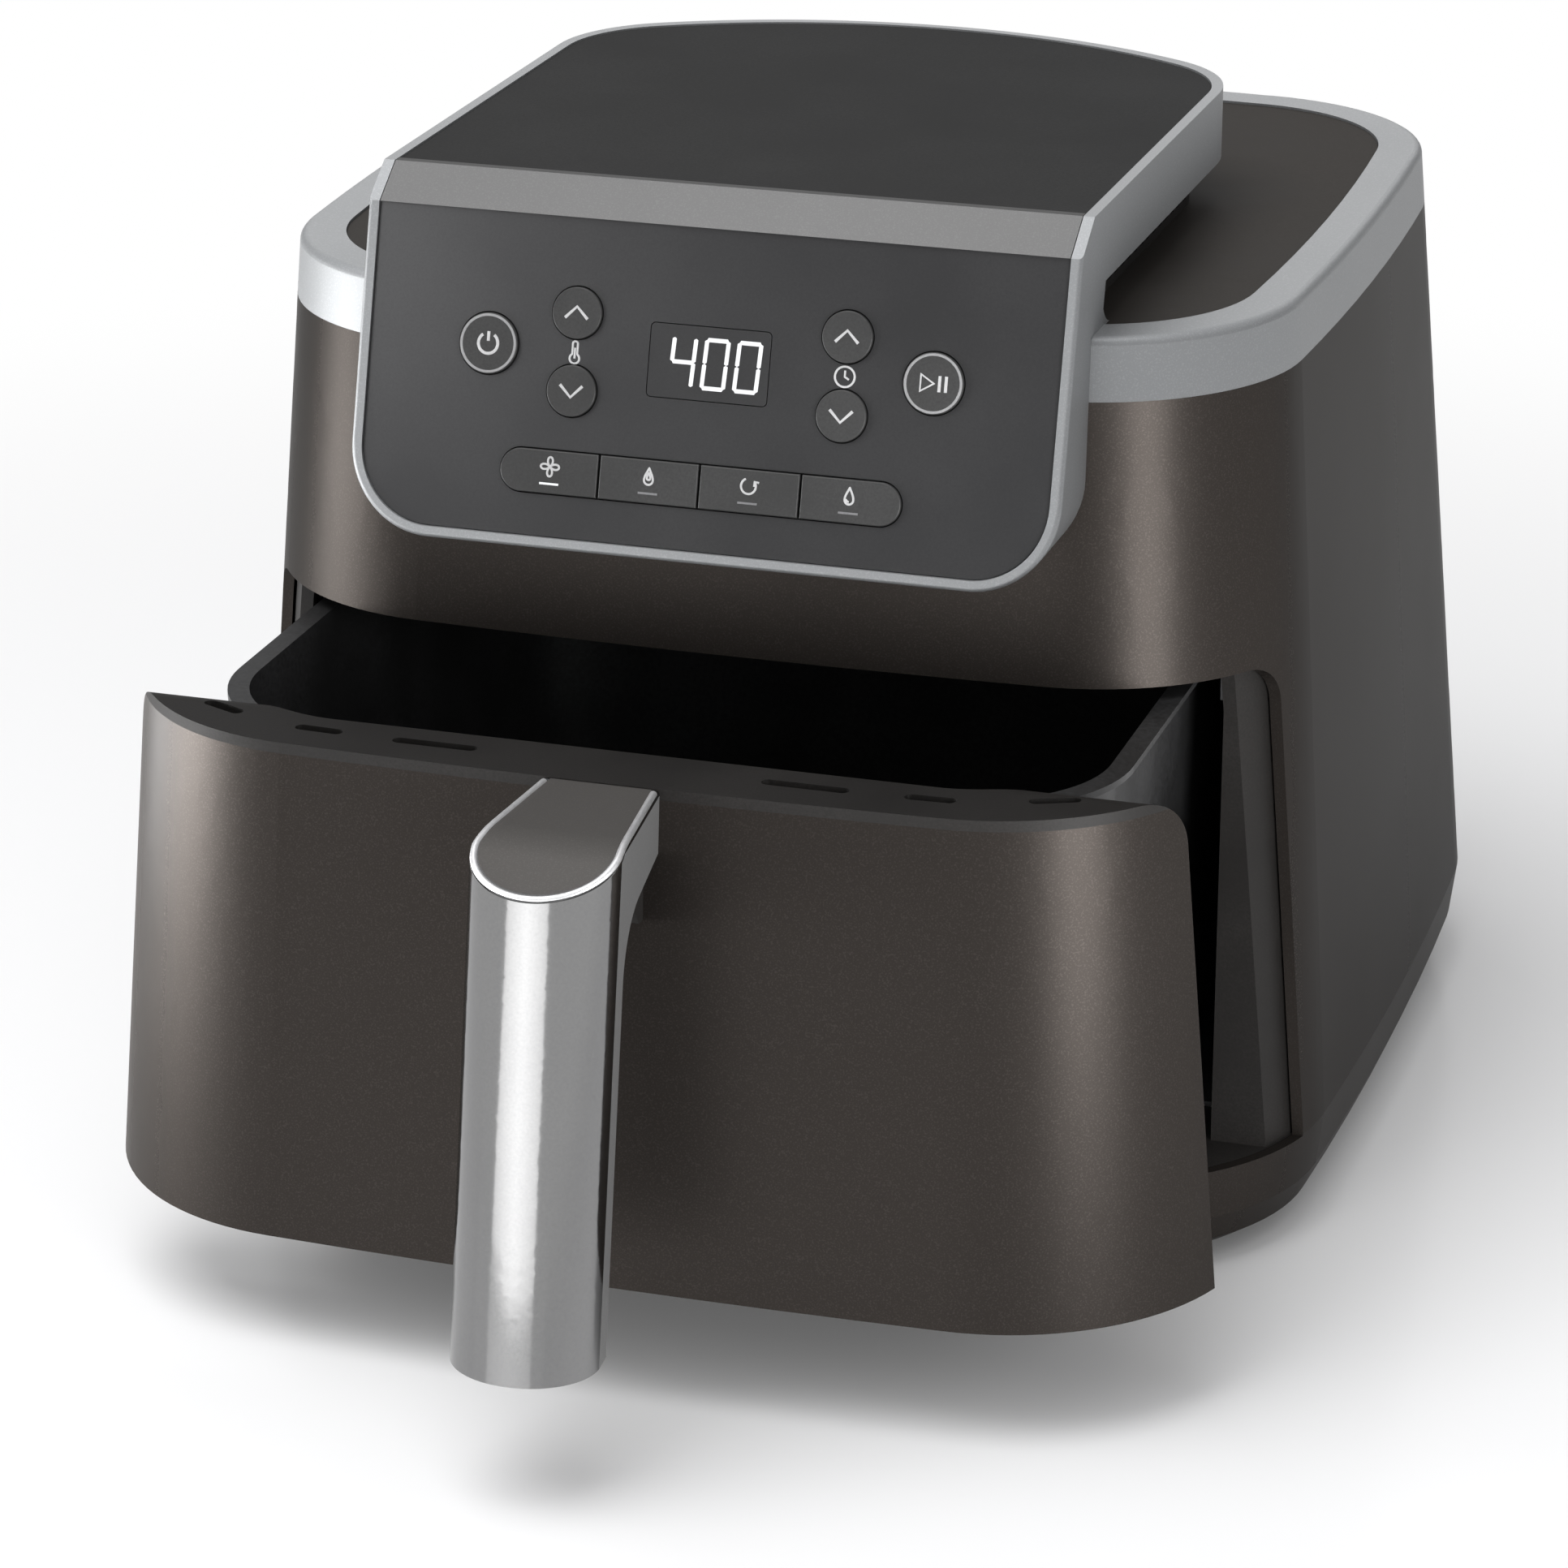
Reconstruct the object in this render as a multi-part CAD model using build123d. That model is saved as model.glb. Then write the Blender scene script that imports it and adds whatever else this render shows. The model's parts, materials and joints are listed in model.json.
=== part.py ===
from build123d import *
from math import acos, atan2, cos, degrees, pi, radians, sin, sqrt, tan
import os

# Air fryer with a pull-out drawer, in millimetres.
# It is drawn about the housing: X to the right, Y to the back, Z up from the table, with the drawer shut.
# The drawer is then drawn out by DRAWER_OUT, and everything is moved so that the origin is at the
# bottom centre of the whole.

# Housing
HALF_WIDTH = 137.5      # widest, at the lower edge of the drawer
FRONT_REACH = 129.75    # from the middle to the front face at that height
BACK_REACH = 147.9      # from the middle to the back face at that height
SIDE_LEAN = 0.071       # drawn in for each millimetre of height
FRONT_LEAN = 0.065
BACK_LEAN = 0.135
BOW = 5.0               # rise of each bowed wall over its corners
CORNER = 58.0           # corner radius in plan
CORNER_LEAN = 0.036
SKIN = 2.5              # wall of the housing and of the drawer front
BASE_Z = 3.0            # underside of the base
WIDE_Z = 27.5           # lower edge of the drawer front
TUCK = 10.0             # the base is drawn in this far under the widest line
TUCK_STEPS = (0.0, 0.16, 0.45, 1.0)
BAND_Z = 212.8          # lower edge of the rim band
RIM_Z = 227.5           # top of the rim band
RIM_WIDTH = 10.4        # width of the band's flat top
RIM_ROUND = 2.0
BAND_WALL = 2.5
LIP_DEPTH = 5.0         # the band's locating lip reaches this far into the housing
DECK_THICK = 2.5
DECK_SINK = 0.6         # the deck's middle lies this far below the band's top
DECK_LAP = 5.0          # the deck's edge lies this far inside the skin, under the band

# Drawer opening
OPENING_DEPTH = 43.75   # from the front face to the rear edge of the cut in the housing's sides
OPENING_TOP_Z = 146.3
OPENING_ROUND = 10.0
FRAME_FRONT_DEPTH = 34.75
FRAME_REAR_DEPTH = 53.75
FRAME_WALL = 2.5
CHEEK_INSET = 3.2       # the cheeks lie this far inside the skin
CHEEK_WIDE = 24.5       # from the housing's side to the cheeks' front edges

# Drawer
DRAWER_OUT = 83.8       # how far the drawer stands open at rest
DRAWER_TOP_Z = 145.5
RETURN_DEPTH = 40.75    # from the front face to the rear edge of the drawer front's sides
RETURN_ROUND = 12.0
CAP_THICK = 2.5
CAP_DEPTH = 38.05
CAP_SIDE_GAP = 1.3      # between the cap's rear corners and the sides of the opening
SLOT_WIDTH = 3.2
LONG_SLOT = 20.0
LONG_SLOT_PLACE = (94.5, 19.05)     # from the housing's side and from its front
SHORT_SLOT = 11.5
SHORT_SLOT_PLACE = (66.5, 20.05)
SHORT_SLOT_TURN = 3.0
CORNER_SLOT_PLACE = (40.5, 27.15)
CORNER_SLOT_TURN = 24.0

# Basket pan and crisper plate
PAN_SIDE_GAP = 34.5     # from the housing's side to the pan's outside at the rim
PAN_FRONT_GAP = 25.75
PAN_BACK_GAP = 39.9
PAN_CORNER = 33.0
PAN_DRAFT = 0.052
PAN_FLOOR_Z = 33.0      # underside
PAN_FOOT_ROUND = 8.0
PAN_WALL = 1.5
PAN_RIM = 3.5           # width of the rim's flange
CRISPER_Z = 44.0
CRISPER_THICK = 1.6
CRISPER_GAP = 2.0
CRISPER_LIP = 3.0
HOLE = 6.0              # across the flats of a hole in the crisper plate
HOLE_PITCH = 15.0
HOLE_MARGIN = 24.0      # no hole's middle is nearer to the pan's side
BUMPER_POST = 4.0
BUMPER_WIDE = 12.0

# Handle
HANDLE_ROOT_HALF = 13.5
HANDLE_HALF = 16.8
HANDLE_ROOT_Z = 145.3
HANDLE_CREASE_REACH = 24.25     # from the housing's front face
HANDLE_CREASE_Z = 144.2
HANDLE_TOP_REACH = 41.65
HANDLE_TOP_Z = 137.0
HANDLE_TIP_REACH = 59.55
HANDLE_TIP_Z = 31.5
HANDLE_DEPTH = 20.0     # thickness of the grip from front to back
HANDLE_NOSE = 14.0      # depth of the grip's rounded front
ARM_THICK = 14.0
ARM_SLOPE = 5.5         # how far the arm's underside falls before it turns into the grip
ARM_ROUND = 18.0
CREASE_ROUND = 30.0     # bend of the handle's top
HANDLE_SHELL = 1.8
HANDLE_INLAY = 2.4
HANDLE_EDGE = 1.2
HANDLE_RIM = 0.9        # rounding of the shell's upper edge
GUSSET_HALF = 10.0
GUSSET_DROP = 16.0
GUSSET_REACH = 14.0
HANDLE_SCREW = 4.0
HANDLE_SCREW_X = 7.0

# Head and control panel
HEAD_SIDE_GAP = 53.2    # from the housing's side to the head's
HEAD_RISE = 27.5        # from the rim's top to the head's
HEAD_SLAB = 17.5        # thickness of the overhanging top
HEAD_HIGH = 80.0
HEAD_LOW_ROUND = 20.0
HEAD_BACK_GAP = 92.9
HEAD_BACK_BOW = 30.0
HEAD_BACK_ROUND = 34.0
HEAD_NECK_DEPTH = 28.75 # from the front face to the rear of the panel box under the slab
NECK_HEEL = 9.0         # radius of the curved foot behind the panel box
PANEL_EDGE_DEPTH = 7.45
PANEL_EDGE_DROP = 7.0   # from the head's top to the panel's upper edge
PANEL_ANGLE = 15.64     # the panel leans back by this many degrees
STRIP_TOP_DEPTH = 17.75
BEZEL = 2.6
BEZEL_ROUND = 1.0
FASCIA_STEP = 0.6
FASCIA_THICK = 2.2
COVER_STEP = 0.4
COVER_THICK = 2.4
GRILLE_INSET = 7.0
GRILLE_WALL = 2.0
GRILLE_SLOT = 3.0
GRILLE_PITCH = 6.0

# Buttons, as places on the panel: across, and down along it from its upper edge
BUTTON_TRAVEL = 1.0
BUTTON_PROUD = 0.8
BUTTON_LIP = 1.2
BUTTON_LIP_THICK = 0.8
BUTTON_STEM = 5.0
BUTTON_STEM_LONG = 0.5
BUTTON_ROUND = 0.4
RING_BUTTON = 14.0
RING_BUTTON_GAP = 31.6  # from the head's side to the outer buttons' middles
RING_BUTTON_DOWN = 30.1
ARROW = 11.8
ARROW_X = 32.0
ARROW_UP_DOWN = 21.5
ARROW_DOWN_DOWN = 39.2
PILL_LONG = 95.2
PILL_HIGH = 9.9
PILL_DOWN = 58.0
KEY_GAP = 0.5
KEY_COUNT = 4
DISPLAY_WIDE = 28.4
DISPLAY_HIGH = 16.6
DISPLAY_DOWN = 30.4
DISPLAY_ROUND = 1.0
DISPLAY_MARGIN = 1.0
LENS_THICK = 2.0
BOARD_DEEP = 4.7        # from the back of the fascia to the control board
BOARD_THICK = 1.6
BOARD_MARGIN = 9.0
BOARD_ROUND = 2.0
SWITCH = 6.0
SWITCH_ROUND = 0.6

# Cooking chamber, heater and fan
LINER_SIDE_GAP = 26.5   # from the housing's side to the liner
LINER_BACK_GAP = 30.9
HOOD_DEPTH = 31.75      # from the front face to the front of the heater's hood
LINER_ROUND = 36.0
LINER_WALL = 1.2
LINER_TOP_Z = 176.0
RAIL_HIGH = 2.0
RAIL_BACK = 10.0        # height of the rails' back plates
RAIL_GAP = 1.6          # from the pan's side to the rails
FAN_Y = 4.0
REFLECTOR_GAP = 15.0    # from the liner's side to the reflector
REFLECTOR_RIM = 6.0
REFLECTOR_CLIPS = (90, 210, 330)
SHEET = 1.2
ELEMENT_Z = 164.0
ELEMENT_TUBE = 6.5
ELEMENT_GAP = 18.0      # from the reflector's edge to the outer ring
ELEMENT_RINGS = 22.0    # between the rings
ELEMENT_GAP_ANGLE = 24.0
ELEMENT_TAIL_Z = 182.0
GUARD_Z = 150.5
GUARD_GAP = 4.0         # from the reflector's edge to the guard
GUARD_RING = 2.4
GUARD_RINGS = 4
GUARD_SPOKES = 8
GUARD_LEG = 4.0
GUARD_LEGS = 4
FAN_RADIUS = 43.0
FAN_Z = 158.0
FAN_HIGH = 11.0
FAN_BLADES = 8
FAN_HUB = 8.0
FAN_PLATE = 1.4
FAN_BLADE_TURN = 20
BLADE_THICK = 1.4
SHAFT = 6.0
MOTOR = 54.0
MOTOR_Z = 181.0
MOTOR_HIGH = 23.0
MOTOR_SLOTS = 6
MOTOR_SLOT = (6.75, 6.0, 11.5)
BRACKET_HALF = 40.0
BRACKET_POST = 8.0
BUSH = 11.0
BUSH_LONG = 6.0
COOLER_RADIUS = 36.0
COOLER_GAP = 3.0
COOLER_HIGH = 7.0
COOLER_BLADES = 9
COOLER_BLADE_TURN = -15
NUT = 10.0
NUT_HIGH = 4.0

# Services
VENT_HALF = 44.0
VENT_LOW_Z = 150.0
VENT_HIGH_Z = 172.0
VENT_SLATS = 6
VENT_SLAT_GAP = 2.0
DUCT_WALL = 1.2
DUCT_MARGIN = 3.0
GLAND = 15.0
GLAND_X = 74.0
GLAND_Z = 40.0
GLAND_FLANGE = 22.0
GLAND_BORE = 7.0
POWER_BOARD = (44.0, 100.0)
POWER_BOARD_GAP = 33.0  # from the liner's side to the board's middle
POWER_BOARD_LIFT = 7.0
SENSOR_GAP = (17.0, 47.0)           # from the liner's side and back
SENSOR_ROD = 5.0
SENSOR_LONG = 20.0
INTERLOCK_GAP = 31.0    # from the pan's side
INTERLOCK_Z = 104.0
INTERLOCK = (22.0, 14.0, 12.0)
PLUNGER = 5.0
PLUNGER_DEEP = 8.0
PLUNGER_TRAVEL = 3.0
FOOT = 20.0
FOOT_STUD = 8.0
FOOT_SIDE_GAP = 45.5
FOOT_FRONT_GAP = 31.75
FOOT_BACK_GAP = 51.9
BASE_THICK = 3.0
POST = 10.0
BASE_SCREW = 4.0
BASE_SCREW_HEAD = 7.0
BASE_SLOT_ROWS = 2      # air slots each side of the middle one

# Fits
RUN = 0.3               # between pieces that move past each other
SEAT = 0.2              # between a piece and the recess that it sits in
SHAFT_FIT = 0.05        # between the shaft and its bushes, on the radius

# Worked out from the sizes above
OPENING_Y = OPENING_DEPTH - FRONT_REACH
FRAME_FRONT_Y = FRAME_FRONT_DEPTH - FRONT_REACH
FRAME_REAR_Y = FRAME_REAR_DEPTH - FRONT_REACH
FRAME_HALF = HALF_WIDTH - CHEEK_WIDE
RETURN_Y = RETURN_DEPTH - FRONT_REACH
CAP_REAR_Y = CAP_DEPTH - FRONT_REACH
PAN_HALF = HALF_WIDTH - PAN_SIDE_GAP
PAN_FRONT_Y = PAN_FRONT_GAP - FRONT_REACH
PAN_BACK_Y = BACK_REACH - PAN_BACK_GAP
HANDLE_CREASE = (-FRONT_REACH - HANDLE_CREASE_REACH, HANDLE_CREASE_Z)
HANDLE_TOP = (-FRONT_REACH - HANDLE_TOP_REACH, HANDLE_TOP_Z)
HANDLE_TIP = (-FRONT_REACH - HANDLE_TIP_REACH, HANDLE_TIP_Z)
HEAD_HALF = HALF_WIDTH - HEAD_SIDE_GAP
HEAD_TOP_Z = RIM_Z + HEAD_RISE
HEAD_SLAB_Z = HEAD_TOP_Z - HEAD_SLAB
HEAD_LOW_Z = HEAD_TOP_Z - HEAD_HIGH
PANEL_EDGE_Z = HEAD_TOP_Z - PANEL_EDGE_DROP
RING_BUTTON_X = HEAD_HALF - RING_BUTTON_GAP
HEAD_BACK_Y = BACK_REACH - HEAD_BACK_GAP
HEAD_NECK_Y = HEAD_NECK_DEPTH - FRONT_REACH
PANEL_EDGE = (PANEL_EDGE_DEPTH - FRONT_REACH, PANEL_EDGE_Z)
STRIP_TOP_Y = STRIP_TOP_DEPTH - FRONT_REACH
LINER_HALF = HALF_WIDTH - LINER_SIDE_GAP
LINER_BACK_Y = BACK_REACH - LINER_BACK_GAP
HOOD_FRONT_Y = HOOD_DEPTH - FRONT_REACH
RAIL_INSIDE = PAN_HALF + RAIL_GAP
REFLECTOR_RADIUS = LINER_HALF - REFLECTOR_GAP
ELEMENT_OUTER = REFLECTOR_RADIUS - ELEMENT_GAP
ELEMENT_INNER = ELEMENT_OUTER - ELEMENT_RINGS
GUARD_RADIUS = REFLECTOR_RADIUS - GUARD_GAP
POWER_BOARD_X = POWER_BOARD_GAP - LINER_HALF
SENSOR = (LINER_HALF - SENSOR_GAP[0], LINER_BACK_Y - SENSOR_GAP[1])
INTERLOCK_X = PAN_HALF - INTERLOCK_GAP
FOOT_X = HALF_WIDTH - FOOT_SIDE_GAP
FOOT_FRONT_Y = FOOT_FRONT_GAP - FRONT_REACH
FOOT_BACK_Y = BACK_REACH - FOOT_BACK_GAP
LEAN = tan(radians(PANEL_ANGLE))
LIP_Z = RIM_Z - BAND_WALL     # underside of the band's flat top
DECK_Z = RIM_Z - DECK_SINK
SILL_Z = WIDE_Z - 2 * RUN
PAN_TOP_Z = DRAWER_TOP_Z - CAP_THICK
GRIP_LEAN = (HANDLE_TOP[0] - HANDLE_TIP[0]) / (HANDLE_TOP[1] - HANDLE_TIP[1])
FAR = 3 * (HALF_WIDTH + BACK_REACH)
SHIFT_Y = -(HANDLE_TIP[0] - DRAWER_OUT + BACK_REACH) / 2
nodes = {}


def block(x0, x1, y0, y1, z0, z1):
    """Box between two corners."""
    middle = Pos((x0 + x1) / 2, (y0 + y1) / 2, (z0 + z1) / 2)
    return middle * Box(x1 - x0, y1 - y0, z1 - z0)


def post(x, y, z0, z1, diameter):
    """Upright cylinder between two heights."""
    return Pos(x, y, (z0 + z1) / 2) * Cylinder(diameter / 2, z1 - z0)


def tuck(z):
    """How far the base is drawn in at height z: straight steps along a quarter ellipse."""
    if z >= WIDE_Z:
        return 0.0
    drawn_in = [TUCK * (1 - sqrt(max(0.0, 1 - (1 - step) ** 2))) for step in TUCK_STEPS]
    up = (z - BASE_Z) / (WIDE_Z - BASE_Z)
    index = max(i for i, step in enumerate(TUCK_STEPS) if step <= max(0.0, up))
    low, high = TUCK_STEPS[index], TUCK_STEPS[index + 1]
    share = (up - low) / (high - low)
    return drawn_in[index] * (1 - share) + drawn_in[index + 1] * share


def section(z, inset=0.0):
    """Bowed plan of the housing with round corners at height z, inset from the skin."""
    rise = max(0.0, z - WIDE_Z)
    inset = inset + tuck(z)
    half = HALF_WIDTH - SIDE_LEAN * rise - inset
    front = FRONT_REACH - FRONT_LEAN * rise - inset
    back = BACK_REACH - BACK_LEAN * rise - inset
    radius = CORNER - CORNER_LEAN * rise - inset
    x, y0, y1 = half - BOW, BOW - front, back - BOW
    middle = (y0 + y1) / 2
    walls = [
        ThreePointArc((x, y0), (half, middle), (x, y1)),
        ThreePointArc((x, y1), (0, back), (-x, y1)),
        ThreePointArc((-x, y1), (-half, middle), (-x, y0)),
        ThreePointArc((-x, y0), (0, -front), (x, y0)),
    ]
    plan = make_face(walls)
    return Pos(0, 0, z) * fillet(plan.vertices(), radius)


def housing(z0, z1, inset=0.0):
    """Solid of the housing's form between two heights, inset from the skin."""
    turns = [BASE_Z + (WIDE_Z - BASE_Z) * step for step in TUCK_STEPS]
    levels = [z0] + [z for z in turns if z0 < z < z1] + [z1]
    return loft([section(z, inset) for z in levels], ruled=True)


def front_block(y_end, z0, z1, radius):
    """Everything in front of y_end between two heights, with the upper rear edge rounded."""
    body = block(-FAR, FAR, y_end - FAR, y_end, z0, z1)
    edge = body.edges().filter_by(Axis.X).sort_by(lambda e: e.center().Y + e.center().Z)[-1]
    return fillet(edge, radius)


# The housing's skin, open at the bottom and top, with the drawer opening cut through its front.
def housing_shell():
    skin = housing(BASE_Z, BAND_Z) - housing(BASE_Z, BAND_Z, SKIN)
    skin -= front_block(OPENING_Y, SILL_Z, OPENING_TOP_Z, OPENING_ROUND)
    skin -= vent_window(SEAT)
    skin -= control_window()
    skin -= gland_bore(GLAND / 2 + SEAT)
    return skin


def control_window():
    """Cable window through the front skin behind the control panel."""
    low, high = OPENING_TOP_Z + HEAD_LOW_ROUND * 2, BAND_Z - LIP_DEPTH * 2
    return block(-HEAD_HALF / 2, HEAD_HALF / 2, -FRONT_REACH, -FRONT_REACH / 2, low, high)


# The flat floor of the housing, with foot sockets, screw holes and posts under the liner.
def base_plate():
    plan = section(BASE_Z, SKIN + SEAT)
    plate = extrude(plan, BASE_THICK)
    for x, y in foot_places():
        plate += post(x, y, BASE_Z, BASE_Z + 2 * BASE_THICK, FOOT)
        plate -= post(x, y, BASE_Z, BASE_Z + BASE_THICK, FOOT_STUD + 2 * SEAT)
    for x, y in screw_places():
        plate += post(x, y, BASE_Z, SILL_Z, POST)
        plate -= post(x, y, BASE_Z, SILL_Z - BASE_THICK, BASE_SCREW + 2 * SEAT)
        plate -= post(x, y, BASE_Z, BASE_Z + BASE_THICK, BASE_SCREW_HEAD + 2 * SEAT)
    slot = SlotOverall(FOOT * 2, SLOT_WIDTH)
    for row in range(-BASE_SLOT_ROWS, BASE_SLOT_ROWS + 1):
        plate -= Pos(0, FAN_Y + row * 3 * SLOT_WIDTH, BASE_Z) * extrude(slot, BASE_THICK)
    return plate


def foot_places():
    return [(x, y) for x in (-FOOT_X, FOOT_X) for y in (FOOT_FRONT_Y, FOOT_BACK_Y)]


def screw_places():
    front, back = FRAME_REAR_Y + POST, LINER_BACK_Y - POST
    return [(x, y) for x in (-FOOT_X / 2, FOOT_X / 2) for y in (front, back)]


def rubber_feet():
    pad = post(0, 0, 0, BASE_Z, FOOT)
    pad = fillet(pad.edges().sort_by(Axis.Z)[0], BASE_Z / 3)
    foot = pad + post(0, 0, BASE_Z, BASE_Z + BASE_THICK, FOOT_STUD)
    return [Pos(x, y, 0) * foot for x, y in foot_places()]


def base_screws():
    head = post(0, 0, BASE_Z + SEAT, BASE_Z + BASE_THICK, BASE_SCREW_HEAD)
    screw = head + post(0, 0, BASE_Z + BASE_THICK, SILL_Z - 2 * BASE_THICK, BASE_SCREW)
    return [Pos(x, y, 0) * screw for x, y in screw_places()]


# The silver band: a wall over the skin, a flat top turned inwards, and a lip inside the housing.
def rim_band():
    body = housing(BAND_Z, RIM_Z)
    top = body.edges().group_by(Axis.Z)[-1]
    body = fillet(top, RIM_ROUND)
    body -= housing(BAND_Z, LIP_Z, BAND_WALL)
    body -= housing(LIP_Z, RIM_Z, RIM_WIDTH)
    outside, inside = SKIN + SEAT, SKIN + SEAT + BAND_WALL
    low, high = BAND_Z - LIP_DEPTH, BAND_Z + BAND_WALL
    lip = housing(low, high, outside) - housing(low, high, inside)
    wall = housing(BAND_Z, high, BAND_WALL / 2) - housing(BAND_Z, high, inside)
    return body + lip + wall


# The dark deck under the band's flat top, with the air intake below the head.
def top_deck():
    low = LIP_Z - DECK_THICK
    deck = housing(low, LIP_Z, DECK_LAP) + housing(low, DECK_Z, RIM_WIDTH + SEAT)
    return deck - post(0, FAN_Y, low, DECK_Z, 2 * COOLER_RADIUS)


# Recessed cheeks, sill and lintel round the drawer opening.
def opening_frame():
    low, high = SILL_Z - FRAME_WALL, OPENING_TOP_Z + FRAME_WALL
    bulk = housing(low, high, CHEEK_INSET)
    cheeks = bulk - housing(low, high, CHEEK_INSET + FRAME_WALL)
    cheeks &= block(-FAR, FAR, FRAME_FRONT_Y, FRAME_REAR_Y, low, high)
    front = bulk & block(-FAR, FAR, FRAME_FRONT_Y, FRAME_FRONT_Y + FRAME_WALL, low, high)
    front -= block(-FRAME_HALF, FRAME_HALF, -FAR, 0, SILL_Z, OPENING_TOP_Z)
    rear = bulk & block(-FAR, FAR, FRAME_REAR_Y - FRAME_WALL, FRAME_REAR_Y, low, high)
    inside = LINER_HALF - LINER_WALL
    rear -= block(-inside, inside, -FAR, 0, SILL_Z, OPENING_TOP_Z)
    apron = housing(low, high, SKIN + SEAT) & block(-FAR, FAR, -FAR, FRAME_REAR_Y, low, high)
    plates = apron - block(-FAR, FAR, -FAR, 0, SILL_Z, OPENING_TOP_Z)
    hood = Pos(0, 0, OPENING_TOP_Z) * extrude(hood_plan(LINER_WALL), FRAME_WALL)
    return plates + cheeks + front + rear - hood


# Head: a box behind the control panel and a slab that overhangs the deck.
def head_plan(inset=0.0):
    """Plan of the head's top: straight sides and a bowed back with round corners."""
    half = HEAD_HALF - inset
    back = HEAD_BACK_Y - inset
    shoulder = HEAD_BACK_Y - HEAD_BACK_BOW - inset
    lines = [
        Line((-half, shoulder), (-half, -FAR)),
        Line((-half, -FAR), (half, -FAR)),
        Line((half, -FAR), (half, shoulder)),
        ThreePointArc((half, shoulder), (0, back), (-half, shoulder)),
    ]
    plan = make_face(lines)
    rear = plan.vertices().sort_by(Axis.Y)[-2:]
    return fillet(rear, HEAD_BACK_ROUND - inset)


def head_core(inset=0.0):
    """Upright prism of the head's plan, with its low front corners rounded as seen from the front."""
    prism = Pos(0, 0, HEAD_LOW_Z) * extrude(head_plan(inset), HEAD_TOP_Z - HEAD_LOW_Z)
    half = HEAD_HALF - inset
    low, high = HEAD_LOW_Z + inset, HEAD_TOP_Z + HEAD_LOW_ROUND
    face = Pos(0, (low + high) / 2) * Rectangle(2 * half, high - low)
    corners = face.vertices().sort_by(Axis.Y)[:2]
    face = fillet(corners, HEAD_LOW_ROUND - inset)
    return prism & extrude(Plane.XZ * face, FAR, both=True)


def panel_y(z, depth=0.0):
    """Y of the panel's face at height z, or of a plane behind it by depth."""
    return PANEL_EDGE[0] + LEAN * (z - PANEL_EDGE[1]) + depth / cos(radians(PANEL_ANGLE))


def side_prism(points):
    """Prism across the whole width with the given outline of Y and Z."""
    return extrude(Plane.YZ * make_face(Polyline(*points, close=True)), FAR, both=True)


def head_outline():
    """Side outline of the head: panel, strip, top, overhang and the box behind the panel."""
    neck_low = neck_y()
    return [
        (panel_y(HEAD_LOW_Z), HEAD_LOW_Z),
        PANEL_EDGE,
        (STRIP_TOP_Y, HEAD_TOP_Z),
        (HEAD_BACK_Y, HEAD_TOP_Z),
        (HEAD_BACK_Y, HEAD_SLAB_Z),
        (HEAD_NECK_Y, HEAD_SLAB_Z),
        (neck_low, DECK_Z),
        (neck_low, HEAD_LOW_Z),
    ]


def neck_y():
    """Y of the panel box's rear where it meets the deck."""
    return HEAD_NECK_Y + LEAN * (DECK_Z - HEAD_SLAB_Z)


def neck_heel():
    """Prism of the curved foot in the corner between the panel box's rear and the deck."""
    corner = neck_y() - BEZEL
    end, high = neck_y() + NECK_HEEL, DECK_Z + NECK_HEEL
    middle = NECK_HEEL * (1 - sqrt(0.5))
    lines = [
        Polyline((end, DECK_Z), (corner, DECK_Z), (corner, high), (neck_y(), high)),
        ThreePointArc((neck_y(), high), (neck_y() + middle, DECK_Z + middle), (end, DECK_Z)),
    ]
    return extrude(Plane.YZ * make_face(lines), FAR, both=True)


def head_seat():
    """What the head stands on: the housing up to the rim, with the deck let in."""
    return housing(BASE_Z, RIM_Z, -SEAT) - housing(DECK_Z + SEAT, RIM_Z + SEAT, RIM_WIDTH + SEAT)


def head_bezel():
    walls = head_core() - head_core(BEZEL)
    outline = side_prism(head_outline()) + neck_heel()
    bezel = walls & outline
    rim = [e for e in bezel.edges() if on_front_rim(e.center())]
    return fillet(rim, BEZEL_ROUND) - head_seat()


def on_front_rim(point):
    """Whether a point lies on the outer edge of the bezel's front."""
    near = BEZEL / 4
    on_face = abs(point.Y - panel_y(point.Z)) < near and point.Z < PANEL_EDGE_Z
    low = HEAD_LOW_Z + HEAD_LOW_ROUND
    side = HEAD_HALF - HEAD_LOW_ROUND
    if point.Z > low:
        return on_face and abs(point.X) > HEAD_HALF - near
    if abs(point.X) < side:
        return on_face and point.Z < HEAD_LOW_Z + near
    return on_face and (abs(point.X) - side) ** 2 + (point.Z - low) ** 2 > (HEAD_LOW_ROUND - near) ** 2


def panel_slab(front, back):
    """Slab along the panel between two depths behind its face."""
    low, high = HEAD_LOW_Z, PANEL_EDGE[1]
    return side_prism([
        (panel_y(low, front), low),
        (panel_y(high, front), high),
        (panel_y(high, back), high),
        (panel_y(low, back), low),
    ])


PANEL = Plane(
    origin=(0, *PANEL_EDGE),
    x_dir=(1, 0, 0),
    z_dir=(0, -cos(radians(PANEL_ANGLE)), sin(radians(PANEL_ANGLE))),
)
FASCIA_BACK = FASCIA_STEP + FASCIA_THICK
KEY_LONG = (PILL_LONG - (KEY_COUNT - 1) * KEY_GAP) / KEY_COUNT
ROUND_BUTTONS = {
    "power_button": (-RING_BUTTON_X, RING_BUTTON_DOWN, RING_BUTTON),
    "start_button": (RING_BUTTON_X, RING_BUTTON_DOWN, RING_BUTTON),
    "warmer_key": (-ARROW_X, ARROW_UP_DOWN, ARROW),
    "cooler_key": (-ARROW_X, ARROW_DOWN_DOWN, ARROW),
    "longer_key": (ARROW_X, ARROW_UP_DOWN, ARROW),
    "shorter_key": (ARROW_X, ARROW_DOWN_DOWN, ARROW),
}
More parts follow.
